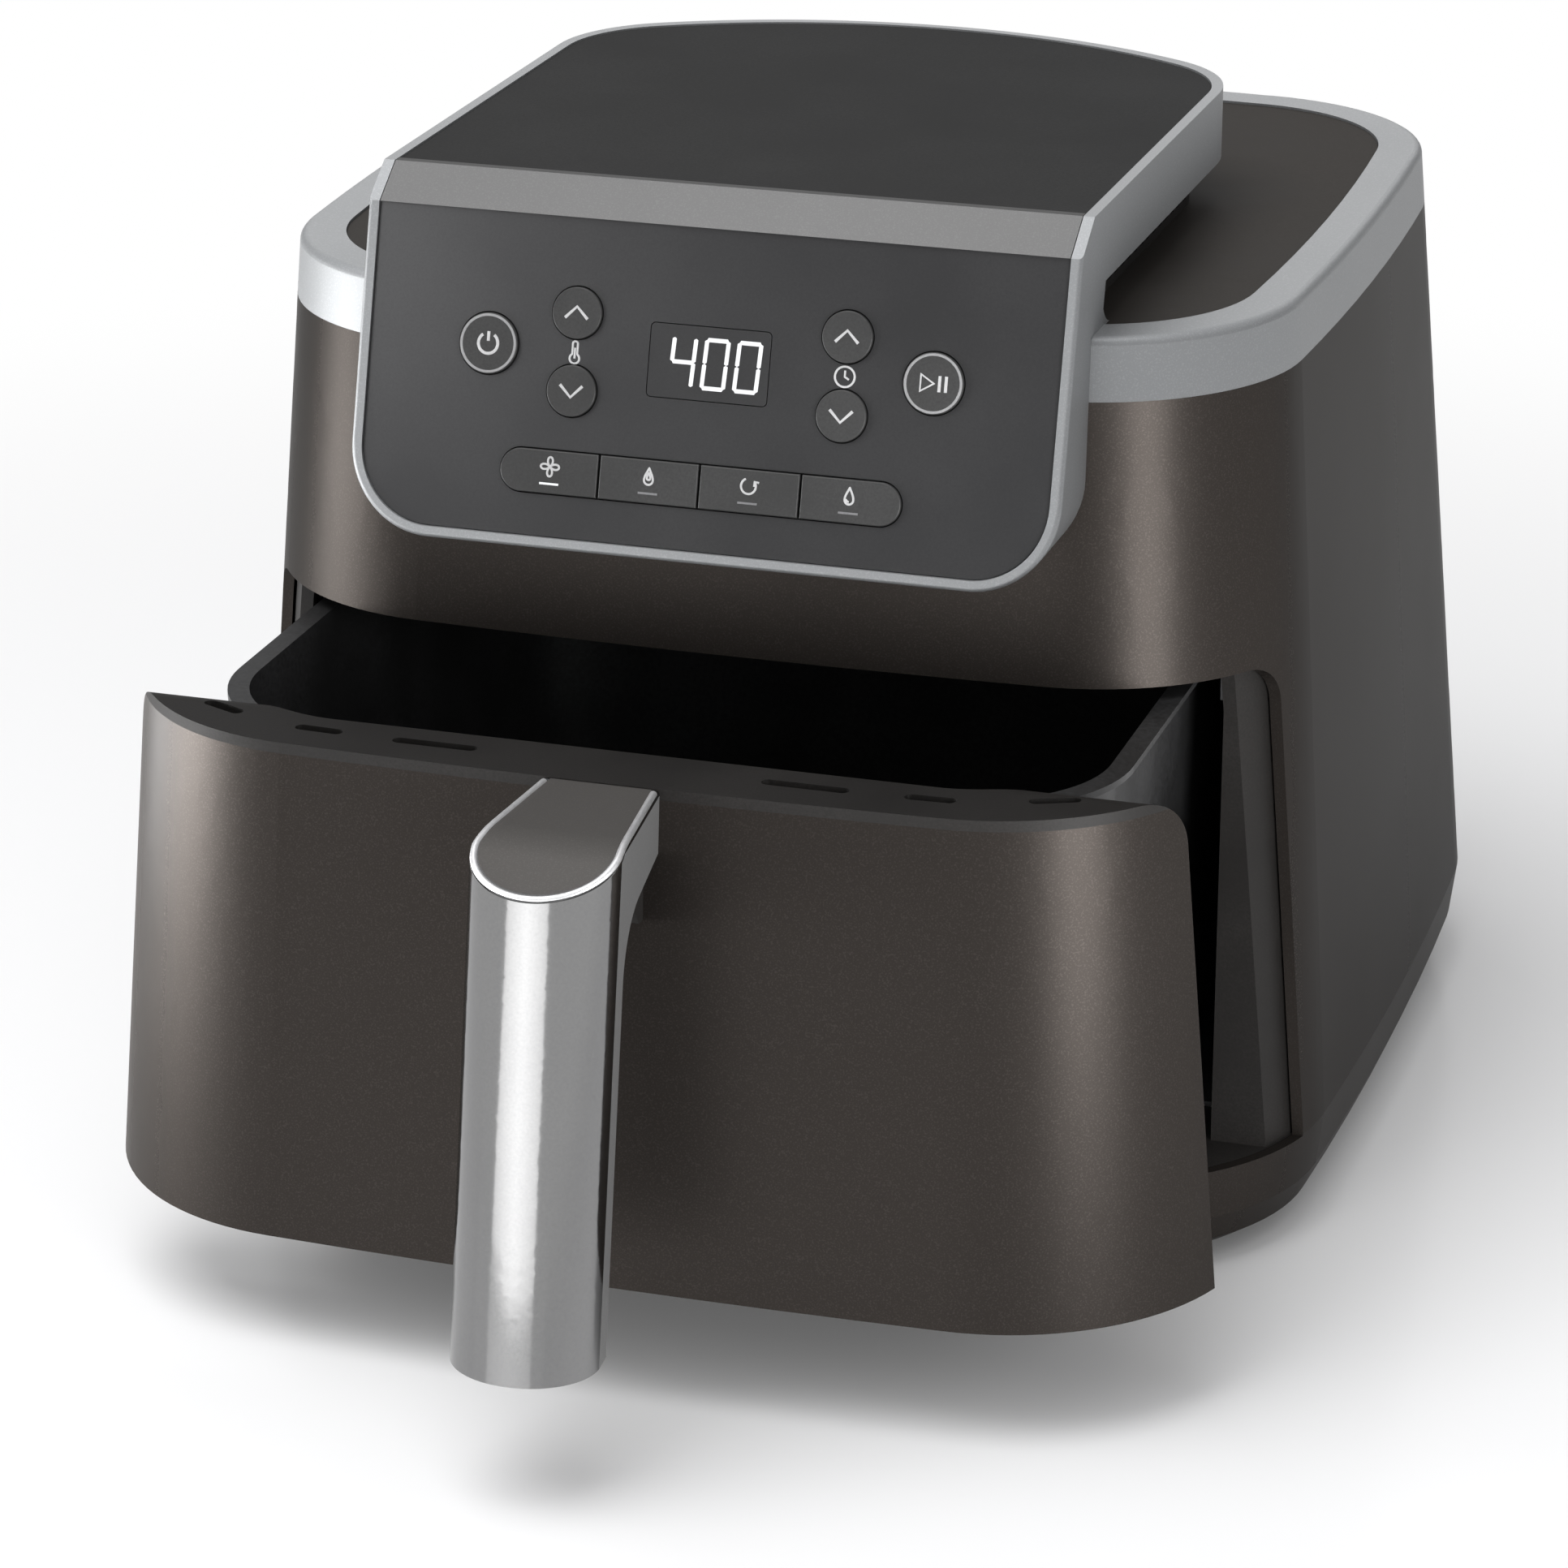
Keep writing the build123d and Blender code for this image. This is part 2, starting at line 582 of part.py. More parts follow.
FUNCTION_KEYS = ["fry_key", "roast_key", "reheat_key", "dry_key"]


def on_panel(x, down, shape, depth, thick):
    """Shape standing on the panel at a place, from depth behind its face and thick towards the back."""
    return PANEL * Pos(x, -down, -depth - thick) * extrude(shape, thick)


def key_x(index):
    return (index - (KEY_COUNT - 1) / 2) * (KEY_LONG + KEY_GAP)


def pill(grow=0.0):
    return SlotOverall(PILL_LONG + 2 * grow, PILL_HIGH + 2 * grow)


# The dark panel with its button holes, display window and board posts.
def control_fascia():
    panel = panel_slab(FASCIA_STEP, FASCIA_BACK) & head_core(BEZEL + SEAT)
    for x, y in board_posts():
        panel += on_panel(x, -y, Circle(POST / 4), FASCIA_BACK, BOARD_DEEP)
    for x, down, size in ROUND_BUTTONS.values():
        panel -= on_panel(x, down, Circle(size / 2 + RUN), 0, FASCIA_BACK)
    panel -= on_panel(0, PILL_DOWN, pill(RUN), 0, FASCIA_BACK)
    window = RectangleRounded(DISPLAY_WIDE + 2 * SEAT, DISPLAY_HIGH + 2 * SEAT, DISPLAY_ROUND + SEAT)
    panel -= on_panel(0, DISPLAY_DOWN, window, 0, FASCIA_BACK)
    return panel


def board_size():
    """Width and height of the control board, and how far its middle is down the panel."""
    wide = 2 * (HEAD_HALF - BEZEL - BOARD_MARGIN)
    top = ARROW_UP_DOWN - RING_BUTTON
    low = PILL_DOWN + PILL_HIGH
    return wide, low - top, (low + top) / 2


def board_posts():
    wide, high, down = board_size()
    x, y = wide / 2 - POST / 2, high / 2 - POST / 2
    return [(i * x, j * y - down) for i in (-1, 1) for j in (-1, 1)]


def control_board():
    wide, high, down = board_size()
    return on_panel(0, down, RectangleRounded(wide, high, BOARD_ROUND), FASCIA_BACK + BOARD_DEEP, BOARD_THICK)


def tact_switches():
    """Small switches on the board, one behind each button, clear of its stem at full travel."""
    top = FASCIA_BACK + RUN + BUTTON_LIP_THICK + BUTTON_STEM_LONG + BUTTON_TRAVEL + RUN
    tall = FASCIA_BACK + BOARD_DEEP - top
    cap = RectangleRounded(SWITCH, SWITCH, SWITCH_ROUND)
    places = [(x, down) for x, down, size in ROUND_BUTTONS.values()]
    places += [(key_x(i), PILL_DOWN) for i in range(KEY_COUNT)]
    return [
        on_panel(x, down, cap, top + tall / 3, tall - tall / 3)
        + on_panel(x, down, Circle(SWITCH / 4), top, tall / 3)
        for x, down in places
    ]


def display_lens():
    face = RectangleRounded(DISPLAY_WIDE, DISPLAY_HIGH, DISPLAY_ROUND)
    return on_panel(0, DISPLAY_DOWN, face, FASCIA_STEP, LENS_THICK)


def display_module():
    front = FASCIA_STEP + LENS_THICK
    wide, high = DISPLAY_WIDE - 2 * DISPLAY_MARGIN, DISPLAY_HIGH - 2 * DISPLAY_MARGIN
    inside = RectangleRounded(wide, high, SWITCH_ROUND)
    return on_panel(0, DISPLAY_DOWN, inside, front, FASCIA_BACK + BOARD_DEEP - front)


def button(x, down, cap, lip, stem):
    """Cap that stands proud of the fascia, with a lip behind it and a stem towards its switch."""
    top = FASCIA_STEP - BUTTON_PROUD
    neck = FASCIA_BACK + RUN
    body = on_panel(x, down, cap, top, neck - top)
    rim = body.faces().sort_by(lambda f: f.center().dot(PANEL.z_dir))[-1].edges()
    body = fillet(rim, BUTTON_ROUND)
    body += on_panel(x, down, lip, neck, BUTTON_LIP_THICK)
    return body + on_panel(x, down, stem, neck + BUTTON_LIP_THICK, BUTTON_STEM_LONG)


def round_button(x, down, size):
    return button(x, down, Circle(size / 2), Circle(size / 2 + BUTTON_LIP), Circle(BUTTON_STEM / 2))


def function_key(index):
    """One of the keys in the pill: the outer two have the pill's round ends."""
    shift = Pos(key_x(index))
    bounds = shift * Rectangle(KEY_LONG, FAR)
    cap = pill() & bounds
    lip = Rectangle(KEY_LONG, PILL_HIGH + 2 * BUTTON_LIP)
    stem = Circle(BUTTON_STEM / 2)
    return button(0, PILL_DOWN, cap, shift * lip, shift * stem)


def front_strip():
    """Satin strip that turns the panel's upper edge into the top."""
    bottom, top = PANEL_EDGE, (STRIP_TOP_Y, HEAD_TOP_Z)
    inner = [(y + COVER_THICK, z) for y, z in (top, bottom)]
    strip = side_prism([bottom, top, *inner])
    half = HEAD_HALF - BEZEL - SEAT
    return strip & block(-half, half, -FAR, FAR, 0, FAR)


def head_top_cover():
    high = HEAD_TOP_Z - COVER_STEP
    plan = head_plan(BEZEL + SEAT)
    cover = Pos(0, 0, high - COVER_THICK) * extrude(plan, COVER_THICK)
    start = STRIP_TOP_Y + COVER_THICK + SEAT
    return cover & block(-FAR, FAR, start, FAR, 0, FAR)


# The head's underside, with a slotted wall that stands on the deck and lets the cooling air in.
def intake_grille():
    start = HEAD_NECK_Y + SEAT
    ceiling = Pos(0, 0, HEAD_SLAB_Z) * extrude(head_plan(BEZEL + SEAT), COVER_THICK)
    tall = HEAD_SLAB_Z - DECK_Z
    wall = extrude(head_plan(GRILLE_INSET), tall) - extrude(head_plan(GRILLE_INSET + GRILLE_WALL), tall)
    wall = Pos(0, 0, DECK_Z) * wall
    low, high = DECK_Z + GRILLE_WALL, HEAD_SLAB_Z - GRILLE_WALL
    reach = HEAD_BACK_Y - HEAD_BACK_ROUND - GRILLE_PITCH
    for i in range(int((reach - start) / GRILLE_PITCH)):
        y = start + (i + 1) * GRILLE_PITCH
        wall -= block(-FAR, FAR, y, y + GRILLE_SLOT, low, high)
    rear = int((HEAD_HALF - HEAD_BACK_ROUND) / GRILLE_PITCH)
    for i in range(-rear, rear + 1):
        x = i * GRILLE_PITCH
        wall -= block(x - GRILLE_SLOT / 2, x + GRILLE_SLOT / 2, 0, FAR, low, high)
    return (ceiling + wall) & block(-FAR, FAR, start, FAR, 0, FAR)


# Drawer front: a bowed skin that carries on the housing's form.
def drawer_front():
    low, high = WIDE_Z, PAN_TOP_Z
    skin = housing(low, high) - housing(low, high, SKIN)
    skin &= front_block(RETURN_Y, low, DRAWER_TOP_Z, RETURN_ROUND)
    for x in (-HANDLE_SCREW_X, HANDLE_SCREW_X):
        skin -= handle_screw_hole(x, HANDLE_SCREW + 2 * SEAT)
    return skin


def pan_plan(z, grow=0.0):
    """Plan of the pan's outside at height z, or grown from it."""
    grow = grow - PAN_DRAFT * (PAN_TOP_Z - z)
    wide = 2 * (PAN_HALF + grow)
    long = PAN_BACK_Y - PAN_FRONT_Y + 2 * grow
    middle = (PAN_BACK_Y + PAN_FRONT_Y) / 2
    return Pos(0, middle, z) * RectangleRounded(wide, long, PAN_CORNER + grow)


def pan_form(z0, z1, grow=0.0):
    return loft([pan_plan(z0, grow), pan_plan(z1, grow)], ruled=True)


# The black cap along the drawer's top edge, with six air slots.
def drawer_cap():
    cap = housing(PAN_TOP_Z, DRAWER_TOP_Z) & front_block(CAP_REAR_Y, 0, DRAWER_TOP_Z, CAP_THICK)
    cap &= front_block(RETURN_Y, WIDE_Z, DRAWER_TOP_Z, RETURN_ROUND)
    cap -= pan_form(PAN_TOP_Z, DRAWER_TOP_Z, -PAN_WALL)
    cheeks = housing(PAN_TOP_Z, DRAWER_TOP_Z, CHEEK_INSET - RUN)
    cheeks &= block(-FAR, FAR, FRAME_FRONT_Y - RUN, 0, 0, FAR)
    inside = FRAME_HALF - CAP_SIDE_GAP
    cap -= cheeks - block(-inside, inside, -FAR, FAR, 0, FAR)
    for side in (-1, 1):
        for (from_side, from_front), long, turn in (
            (LONG_SLOT_PLACE, LONG_SLOT, 0),
            (SHORT_SLOT_PLACE, SHORT_SLOT, SHORT_SLOT_TURN),
            (CORNER_SLOT_PLACE, SHORT_SLOT, CORNER_SLOT_TURN),
        ):
            slot = extrude(SlotOverall(long, SLOT_WIDTH), CAP_THICK)
            place = Pos(side * (HALF_WIDTH - from_side), from_front - FRONT_REACH, PAN_TOP_Z)
            cap -= place * Rot(0, 0, side * turn) * slot
    return cap


# The moulding behind the drawer front that carries the pan.
def drawer_inner_shell():
    low, high = WIDE_Z + RUN, PAN_TOP_Z
    rear = FRAME_FRONT_Y - 2 * RUN
    bulk = housing(low, high, SKIN + SEAT) & block(-FAR, FAR, -FAR, rear, low, high)
    bulk -= pan_form(PAN_FLOOR_Z, high, SEAT)
    bulk -= pan_rim(SEAT)
    hollow = housing(low + SKIN, high, SKIN) - pan_form(PAN_FLOOR_Z, high, SEAT + SKIN)
    hollow &= block(-FAR, FAR, -FAR, rear - SKIN, low + SKIN, high)
    return bulk - hollow


def pan_rim(grow=0.0):
    """Flange round the pan's top edge."""
    low = PAN_TOP_Z - PAN_WALL - grow
    return Pos(0, 0, low - PAN_TOP_Z) * extrude(pan_plan(PAN_TOP_Z, PAN_RIM + grow), PAN_TOP_Z - low)


def basket_pan():
    outside = pan_form(PAN_FLOOR_Z, PAN_TOP_Z)
    outside = fillet(outside.edges().group_by(Axis.Z)[0], PAN_FOOT_ROUND)
    inside = pan_form(PAN_FLOOR_Z + PAN_WALL, PAN_TOP_Z, -PAN_WALL)
    inside = fillet(inside.edges().group_by(Axis.Z)[0], PAN_FOOT_ROUND - PAN_WALL)
    return outside + pan_rim() - inside


# The plate that the food lies on: a lipped sheet with staggered six-sided holes.
def crisper_plate():
    grow = -PAN_WALL - CRISPER_GAP
    top = CRISPER_Z + CRISPER_THICK
    plate = pan_form(CRISPER_Z, top, grow)
    lip = pan_form(top, top + CRISPER_LIP, grow) - pan_form(top, top + CRISPER_LIP, grow - CRISPER_THICK)
    rows = int((PAN_BACK_Y - PAN_FRONT_Y) / 2 / HOLE_PITCH) - 1
    columns = int(PAN_HALF / HOLE_PITCH)
    middle = (PAN_BACK_Y + PAN_FRONT_Y) / 2
    hole = extrude(RegularPolygon(HOLE / sqrt(3), 6), CRISPER_THICK)
    holes = []
    for row in range(-rows, rows + 1):
        shift = HOLE_PITCH / 2 if row % 2 else 0.0
        for column in range(-columns, columns + 1):
            x, y = column * HOLE_PITCH + shift, row * HOLE_PITCH * sin(pi / 3)
            if abs(x) < PAN_HALF - HOLE_MARGIN:
                holes.append(Pos(x, middle + y, CRISPER_Z) * hole)
    return plate + lip - holes


def crisper_bumpers():
    """Silicone feet at the plate's sides: a post on the pan's floor and a pad over the plate's edge."""
    floor = PAN_FLOOR_Z + PAN_WALL + RUN
    wall = pan_half_inside(CRISPER_Z) - RUN
    top = CRISPER_Z + CRISPER_THICK + CRISPER_LIP
    feet = []
    for side in (-1, 1):
        for y in (PAN_FRONT_Y + 2 * PAN_CORNER, PAN_BACK_Y - 2 * PAN_CORNER):
            x = wall - PAN_FOOT_ROUND - BUMPER_POST
            stem = post(side * x, y, floor, CRISPER_Z, 2 * BUMPER_POST)
            ends = sorted((side * (pan_half_inside(top) - CRISPER_GAP), side * wall))
            pad = block(*ends, y - BUMPER_WIDE / 2, y + BUMPER_WIDE / 2, CRISPER_Z - BUMPER_POST / 2, top)
            arm_ends = sorted((side * x, side * wall))
            arm = block(*arm_ends, y - BUMPER_POST, y + BUMPER_POST, CRISPER_Z - BUMPER_POST / 2, CRISPER_Z)
            feet.append(stem + arm + pad)
    return feet


def pan_half_inside(z):
    return PAN_HALF - PAN_WALL - PAN_DRAFT * (PAN_TOP_Z - z)


# Handle: an arm from the drawer front that turns down into a grip with a rounded front.
def skin_y(z):
    """Y of the housing's front face at height z, on the middle line."""
    return FRONT_LEAN * max(0.0, z - WIDE_Z) - FRONT_REACH


def grip_y(z, depth=0.0):
    """Y of the grip's front line at height z, or of a line behind it by depth."""
    return HANDLE_TIP[0] + GRIP_LEAN * (z - HANDLE_TIP[1]) + depth


def handle_profile():
    """Side outline of the handle, with a round corner between arm and grip."""
    root_low = HANDLE_ROOT_Z - ARM_THICK
    corner_z = root_low - ARM_SLOPE
    points = [
        (skin_y(HANDLE_ROOT_Z) + SKIN, HANDLE_ROOT_Z),
        HANDLE_CREASE,
        HANDLE_TOP,
        HANDLE_TIP,
        (grip_y(HANDLE_TIP[1], HANDLE_DEPTH), HANDLE_TIP[1]),
        (grip_y(corner_z, HANDLE_DEPTH), corner_z),
        (skin_y(root_low) + SKIN, root_low),
    ]
    face = make_face(Polyline(*points, close=True))
    for point, radius in ((points[5], ARM_ROUND), (points[1], CREASE_ROUND)):
        bend = face.vertices().sort_by_distance((*point, 0))[0]
        face = fillet(bend, radius)
    return extrude(Plane.YZ * face, HANDLE_HALF * 2, both=True)


def handle_plan(inset=0.0):
    """Leaning prism of the handle's plan: a tongue that widens from its root to a rounded nose."""
    high = HANDLE_ROOT_Z + HANDLE_INLAY
    nose = grip_y(high) + inset
    root, half = HANDLE_ROOT_HALF - inset, HANDLE_HALF - inset
    shoulder = grip_y(high) + HANDLE_NOSE
    back = skin_y(high) + 2 * HANDLE_NOSE
    deep, run = shoulder - nose, skin_y(high) - shoulder
    turn = atan2(run / deep, root / half) - acos(1 / sqrt((root / half) ** 2 + (run / deep) ** 2))
    touch_x, touch_y = half * cos(turn), shoulder + deep * sin(turn)
    rear = root - (touch_x - root) / (skin_y(high) - touch_y) * (back - skin_y(high))
    lines = [
        Line((-rear, back), (rear, back)),
        Line((rear, back), (touch_x, touch_y)),
        EllipticalCenterArc(
            (0, shoulder), half, deep, start_angle=180 - degrees(turn), arc_size=180 + 2 * degrees(turn)),
        Line((-touch_x, touch_y), (-rear, back)),
    ]
    drop = high - HANDLE_TIP[1] + HANDLE_INLAY
    face = Pos(0, 0, high) * make_face(lines)
    return extrude(face, drop * sqrt(1 + GRIP_LEAN**2), dir=(0, -GRIP_LEAN, -1))


def handle_top_layer(thick):
    """Layer under the handle's top line, as thick as given."""
    root = (skin_y(HANDLE_ROOT_Z) + SKIN, HANDLE_ROOT_Z)
    nose = (grip_y(HANDLE_TOP[1]) - HANDLE_NOSE, HANDLE_TOP[1] - HANDLE_NOSE * handle_slope())
    line = [root, HANDLE_CREASE, nose]
    return side_prism(line + [(y, z - thick) for y, z in reversed(line)])


def handle_slope():
    """Fall of the handle's top in front of its crease, for each millimetre forward."""
    return (HANDLE_CREASE[1] - HANDLE_TOP[1]) / (HANDLE_CREASE[0] - HANDLE_TOP[0])


def handle_top_edges(handle):
    """The long edges round the handle's top faces, without those that run across it."""
    tops = [face for face in handle.faces() if face.normal_at().Z > cos(pi / 4) and face.center().Z > HANDLE_TIP[1]]
    sides = [face for face in handle.faces() if abs(face.normal_at().Z) < sin(pi / 8)]
    wall_edges = [edge for face in sides for edge in face.edges()]
    return [
        edge for face in tops for edge in face.edges()
        if abs(edge.center().X) > HANDLE_SHELL or edge.center().Y < HANDLE_TOP[0] + HANDLE_NOSE
        if any(edge.is_same(other) for other in wall_edges)
    ]


def handle_pieces():
    """The chrome front shell, the dark top inlay and the core that they sit on."""
    whole = handle_profile() & handle_plan()
    whole = fillet(handle_top_edges(whole), HANDLE_RIM)
    whole -= housing(WIDE_Z, RIM_Z)
    inner = handle_plan(HANDLE_SHELL)
    front = side_prism([
        (grip_y(HANDLE_ROOT_Z, HANDLE_NOSE), HANDLE_ROOT_Z),
        (grip_y(0, HANDLE_NOSE), 0),
        (grip_y(0, -FAR), 0),
        (grip_y(HANDLE_ROOT_Z, -FAR), HANDLE_ROOT_Z),
    ])
    ring = whole - inner
    shell = (ring & front) + (ring & handle_top_layer(HANDLE_EDGE))
    inlay = whole & inner & handle_top_layer(HANDLE_INLAY)
    core = whole - shell - inlay
    for x in (-HANDLE_SCREW_X, HANDLE_SCREW_X):
        core -= handle_screw_hole(x, HANDLE_SCREW + 2 * SEAT)
    return shell, inlay, core


def screw_line():
    """Height of the handle's screws, and where their heads and tips lie."""
    z = HANDLE_ROOT_Z - ARM_THICK / 2
    return z, skin_y(z + HANDLE_SCREW) + SKIN + SEAT, skin_y(z) - ARM_THICK


def handle_screw_hole(x, diameter):
    z, head, tip = screw_line()
    return Pos(x, (head + tip) / 2, z) * Rot(90, 0, 0) * Cylinder(diameter / 2, head - tip + SKIN)


def handle_screws():
    z, head, tip = screw_line()
    tall = HANDLE_SCREW / 2
    shank = Rot(90, 0, 0) * Cylinder(HANDLE_SCREW / 2, head - tip)
    cap = Rot(90, 0, 0) * Cylinder(HANDLE_SCREW, tall)
    return [
        Pos(x, (head + tip) / 2, z) * shank + Pos(x, head + tall / 2, z) * cap
        for x in (-HANDLE_SCREW_X, HANDLE_SCREW_X)
    ]


def handle_bracket():
    """Gusset under the arm, against the drawer front."""
    top = HANDLE_ROOT_Z - ARM_THICK
    wedge = side_prism([
        (skin_y(top) + SKIN, top),
        (skin_y(top) - GUSSET_REACH, top - ARM_SLOPE / 2),
        (skin_y(top) - GUSSET_REACH / 4, top - GUSSET_DROP),
        (skin_y(top) + SKIN, top - GUSSET_DROP),
    ])
    wedge &= block(-GUSSET_HALF, GUSSET_HALF, -FAR, FAR, 0, FAR)
    return wedge - housing(WIDE_Z, RIM_Z) - handle_profile()


# Cooking chamber: a sheet-metal box open to the front, with the drawer's rails on its sides.
def liner_plan(inset=0.0):
    half = LINER_HALF - inset
    back = LINER_BACK_Y - inset
    front = FRAME_REAR_Y
    face = Pos(0, (back + front) / 2) * Rectangle(2 * half, back - front)
    rear = face.vertices().sort_by(Axis.Y)[-2:]
    return fillet(rear, LINER_ROUND - inset)


def hood_plan(inset=0.0):
    """Plan of the heater's hood, which reaches out over the front of the pan."""
    long = LINER_BACK_Y - HOOD_FRONT_Y - 2 * inset
    middle = (LINER_BACK_Y + HOOD_FRONT_Y) / 2
    return Pos(0, middle) * RectangleRounded(2 * (LINER_HALF - inset), long, LINER_ROUND - inset)


def chamber_liner():
    tall = LINER_TOP_Z - SILL_Z
    hood_low = OPENING_TOP_Z + FRAME_WALL
    hood_high = LINER_TOP_Z - hood_low
    box = Pos(0, 0, SILL_Z) * extrude(liner_plan(), tall)
    box += Pos(0, 0, hood_low) * extrude(hood_plan(), hood_high)
    box -= Pos(0, 0, SILL_Z + LINER_WALL) * extrude(liner_plan(LINER_WALL), tall - 2 * LINER_WALL)
    box -= Pos(0, 0, hood_low) * extrude(hood_plan(LINER_WALL), hood_high - LINER_WALL)
    box -= post(0, FAN_Y, SILL_Z + LINER_WALL, LINER_TOP_Z, 2 * SHAFT)
    for x, y in element_tails():
        box -= post(x, y, ELEMENT_Z, LINER_TOP_Z, ELEMENT_TUBE + 2 * SEAT)
    box -= post(*SENSOR, ELEMENT_Z, LINER_TOP_Z, SENSOR_ROD + 2 * SEAT)
    box -= block(-VENT_HALF, VENT_HALF, 0, FAR, VENT_LOW_Z, VENT_HIGH_Z)
    box -= plunger_rod(PLUNGER + 2 * RUN)
    return box


def drawer_rails():
    """Rails under the pan's rim, one on each side of the liner."""
    top = PAN_TOP_Z - PAN_WALL - RUN
    inside = LINER_HALF - LINER_WALL
    start, end = FRAME_REAR_Y, LINER_BACK_Y - LINER_ROUND
    rails = []
    for side in (-1, 1):
        shelf = block(*sorted((side * RAIL_INSIDE, side * inside)), start, end, top - RAIL_HIGH, top)
        sides = sorted((side * (inside - RAIL_HIGH), side * inside))
        back = block(*sides, start, end, top - RAIL_BACK, top)
        rails.append(shelf + back)
    return rails


def heat_reflector():
    """Dish under the liner's roof, with clips that hold the heating element."""
    high = LINER_TOP_Z - LINER_WALL
    dish = post(0, FAN_Y, high - SHEET, high, 2 * REFLECTOR_RADIUS)
    rim = post(0, FAN_Y, high - REFLECTOR_RIM, high, 2 * REFLECTOR_RADIUS)
    rim -= post(0, FAN_Y, high - REFLECTOR_RIM, high, 2 * (REFLECTOR_RADIUS - SHEET))
    dish = dish + rim - post(0, FAN_Y, high - SHEET, high, 2 * SHAFT)
    for x, y in element_tails():
        dish -= post(x, y, ELEMENT_Z, high, ELEMENT_TUBE + 2 * SEAT)
    low = ELEMENT_Z + ELEMENT_TUBE / 2
    reach = ELEMENT_OUTER - ELEMENT_INNER + ELEMENT_TUBE
    middle = (ELEMENT_OUTER + ELEMENT_INNER) / 2
    for turn in REFLECTOR_CLIPS:
        clip = Pos(middle, 0, (low + high) / 2) * Box(reach, SHEET * 2, high - low)
        dish += Pos(0, FAN_Y, 0) * Rot(0, 0, turn) * clip
    return dish


def element_tails():
    """Where the heating element's two ends turn up, beside the gap in its rings."""
    half = radians(ELEMENT_GAP_ANGLE / 2)
    radii = (ELEMENT_OUTER, ELEMENT_INNER)
    return [(r * cos(-half), FAN_Y + r * sin(-half)) for r in radii]


def heating_element():
    """One tube: out along the outer ring, round a bend and back along the inner ring."""
    half = ELEMENT_GAP_ANGLE / 2
    sweep_angle = 360 - ELEMENT_GAP_ANGLE
    outer = CenterArc((0, 0), ELEMENT_OUTER, -half, -sweep_angle)
    inner = CenterArc((0, 0), ELEMENT_INNER, half, sweep_angle)
    bend_middle = (ELEMENT_OUTER + ELEMENT_INNER) / 2
    bend_radius = (ELEMENT_OUTER - ELEMENT_INNER) / 2
    middle = (bend_middle * cos(radians(half)), bend_middle * sin(radians(half)))
    out = bend_radius * sin(radians(half)), -bend_radius * cos(radians(half))
    bend = ThreePointArc(outer @ 1, (middle[0] + out[0], middle[1] + out[1]), inner @ 0)
    start = Plane(origin=outer @ 0, z_dir=outer % 0)
    tube = sweep(start * Circle(ELEMENT_TUBE / 2), path=Wire([outer, bend, inner]))
    tube = Pos(0, FAN_Y, ELEMENT_Z) * tube
    for x, y in element_tails():
        tube += Pos(x, y, ELEMENT_Z) * Sphere(ELEMENT_TUBE / 2)
        tube += post(x, y, ELEMENT_Z, ELEMENT_TAIL_Z, ELEMENT_TUBE)
    return tube


def element_guard():
    """Wire guard under the fan: rings and spokes, on legs from the reflector."""
    face = Circle(2 * GUARD_RING)
    reach = GUARD_RADIUS - GUARD_RING / 2
    for spoke in range(GUARD_SPOKES):
        arm = Pos(reach / 2, 0) * Rectangle(reach, GUARD_RING)
        face += Rot(0, 0, 360 * spoke / GUARD_SPOKES) * arm
    for ring in range(1, GUARD_RINGS + 2):
        radius = GUARD_RADIUS * ring / (GUARD_RINGS + 1)
        face += Circle(radius) - Circle(radius - GUARD_RING)
    guard = Pos(0, FAN_Y, GUARD_Z) * extrude(face, GUARD_RING / 2)
    high = LINER_TOP_Z - LINER_WALL - SHEET
    for leg in range(GUARD_LEGS):
        angle = radians(360 * (leg + 0.5) / GUARD_LEGS + 180 / GUARD_SPOKES)
        guard += post(reach * cos(angle), FAN_Y + reach * sin(angle), GUARD_Z, high, GUARD_LEG)
    return guard


def fan_wheel(z, radius, hub, tall, blades, turn):
    """Back plate, hub and leaning blades, bored for the shaft."""
    wheel = post(0, FAN_Y, z + tall - FAN_PLATE, z + tall, 2 * radius)
    wheel += post(0, FAN_Y, z, z + tall, 2 * hub)
    long = radius - hub
    blade = Pos((radius + hub) / 2, 0, z + tall / 2) * Rot(0, 0, turn) * Box(long, BLADE_THICK, tall)
    for index in range(blades):
        wheel += Pos(0, FAN_Y, 0) * Rot(0, 0, 360 * index / blades) * blade
    wheel &= post(0, FAN_Y, z, z + tall, 2 * radius)
    return wheel - post(0, FAN_Y, z, z + tall, SHAFT)


def cooler_z():
    return MOTOR_Z + MOTOR_HIGH + COOLER_GAP


def motor_shaft():
    return post(0, FAN_Y, FAN_Z - NUT_HIGH, cooler_z() + COOLER_HIGH, SHAFT)


def hub_nut():
    hexagon = RegularPolygon(NUT / 2, 6, major_radius=False)
    nut = Pos(0, FAN_Y, FAN_Z - NUT_HIGH) * extrude(hexagon, NUT_HIGH)
    return nut - post(0, FAN_Y, FAN_Z - NUT_HIGH, FAN_Z, SHAFT)


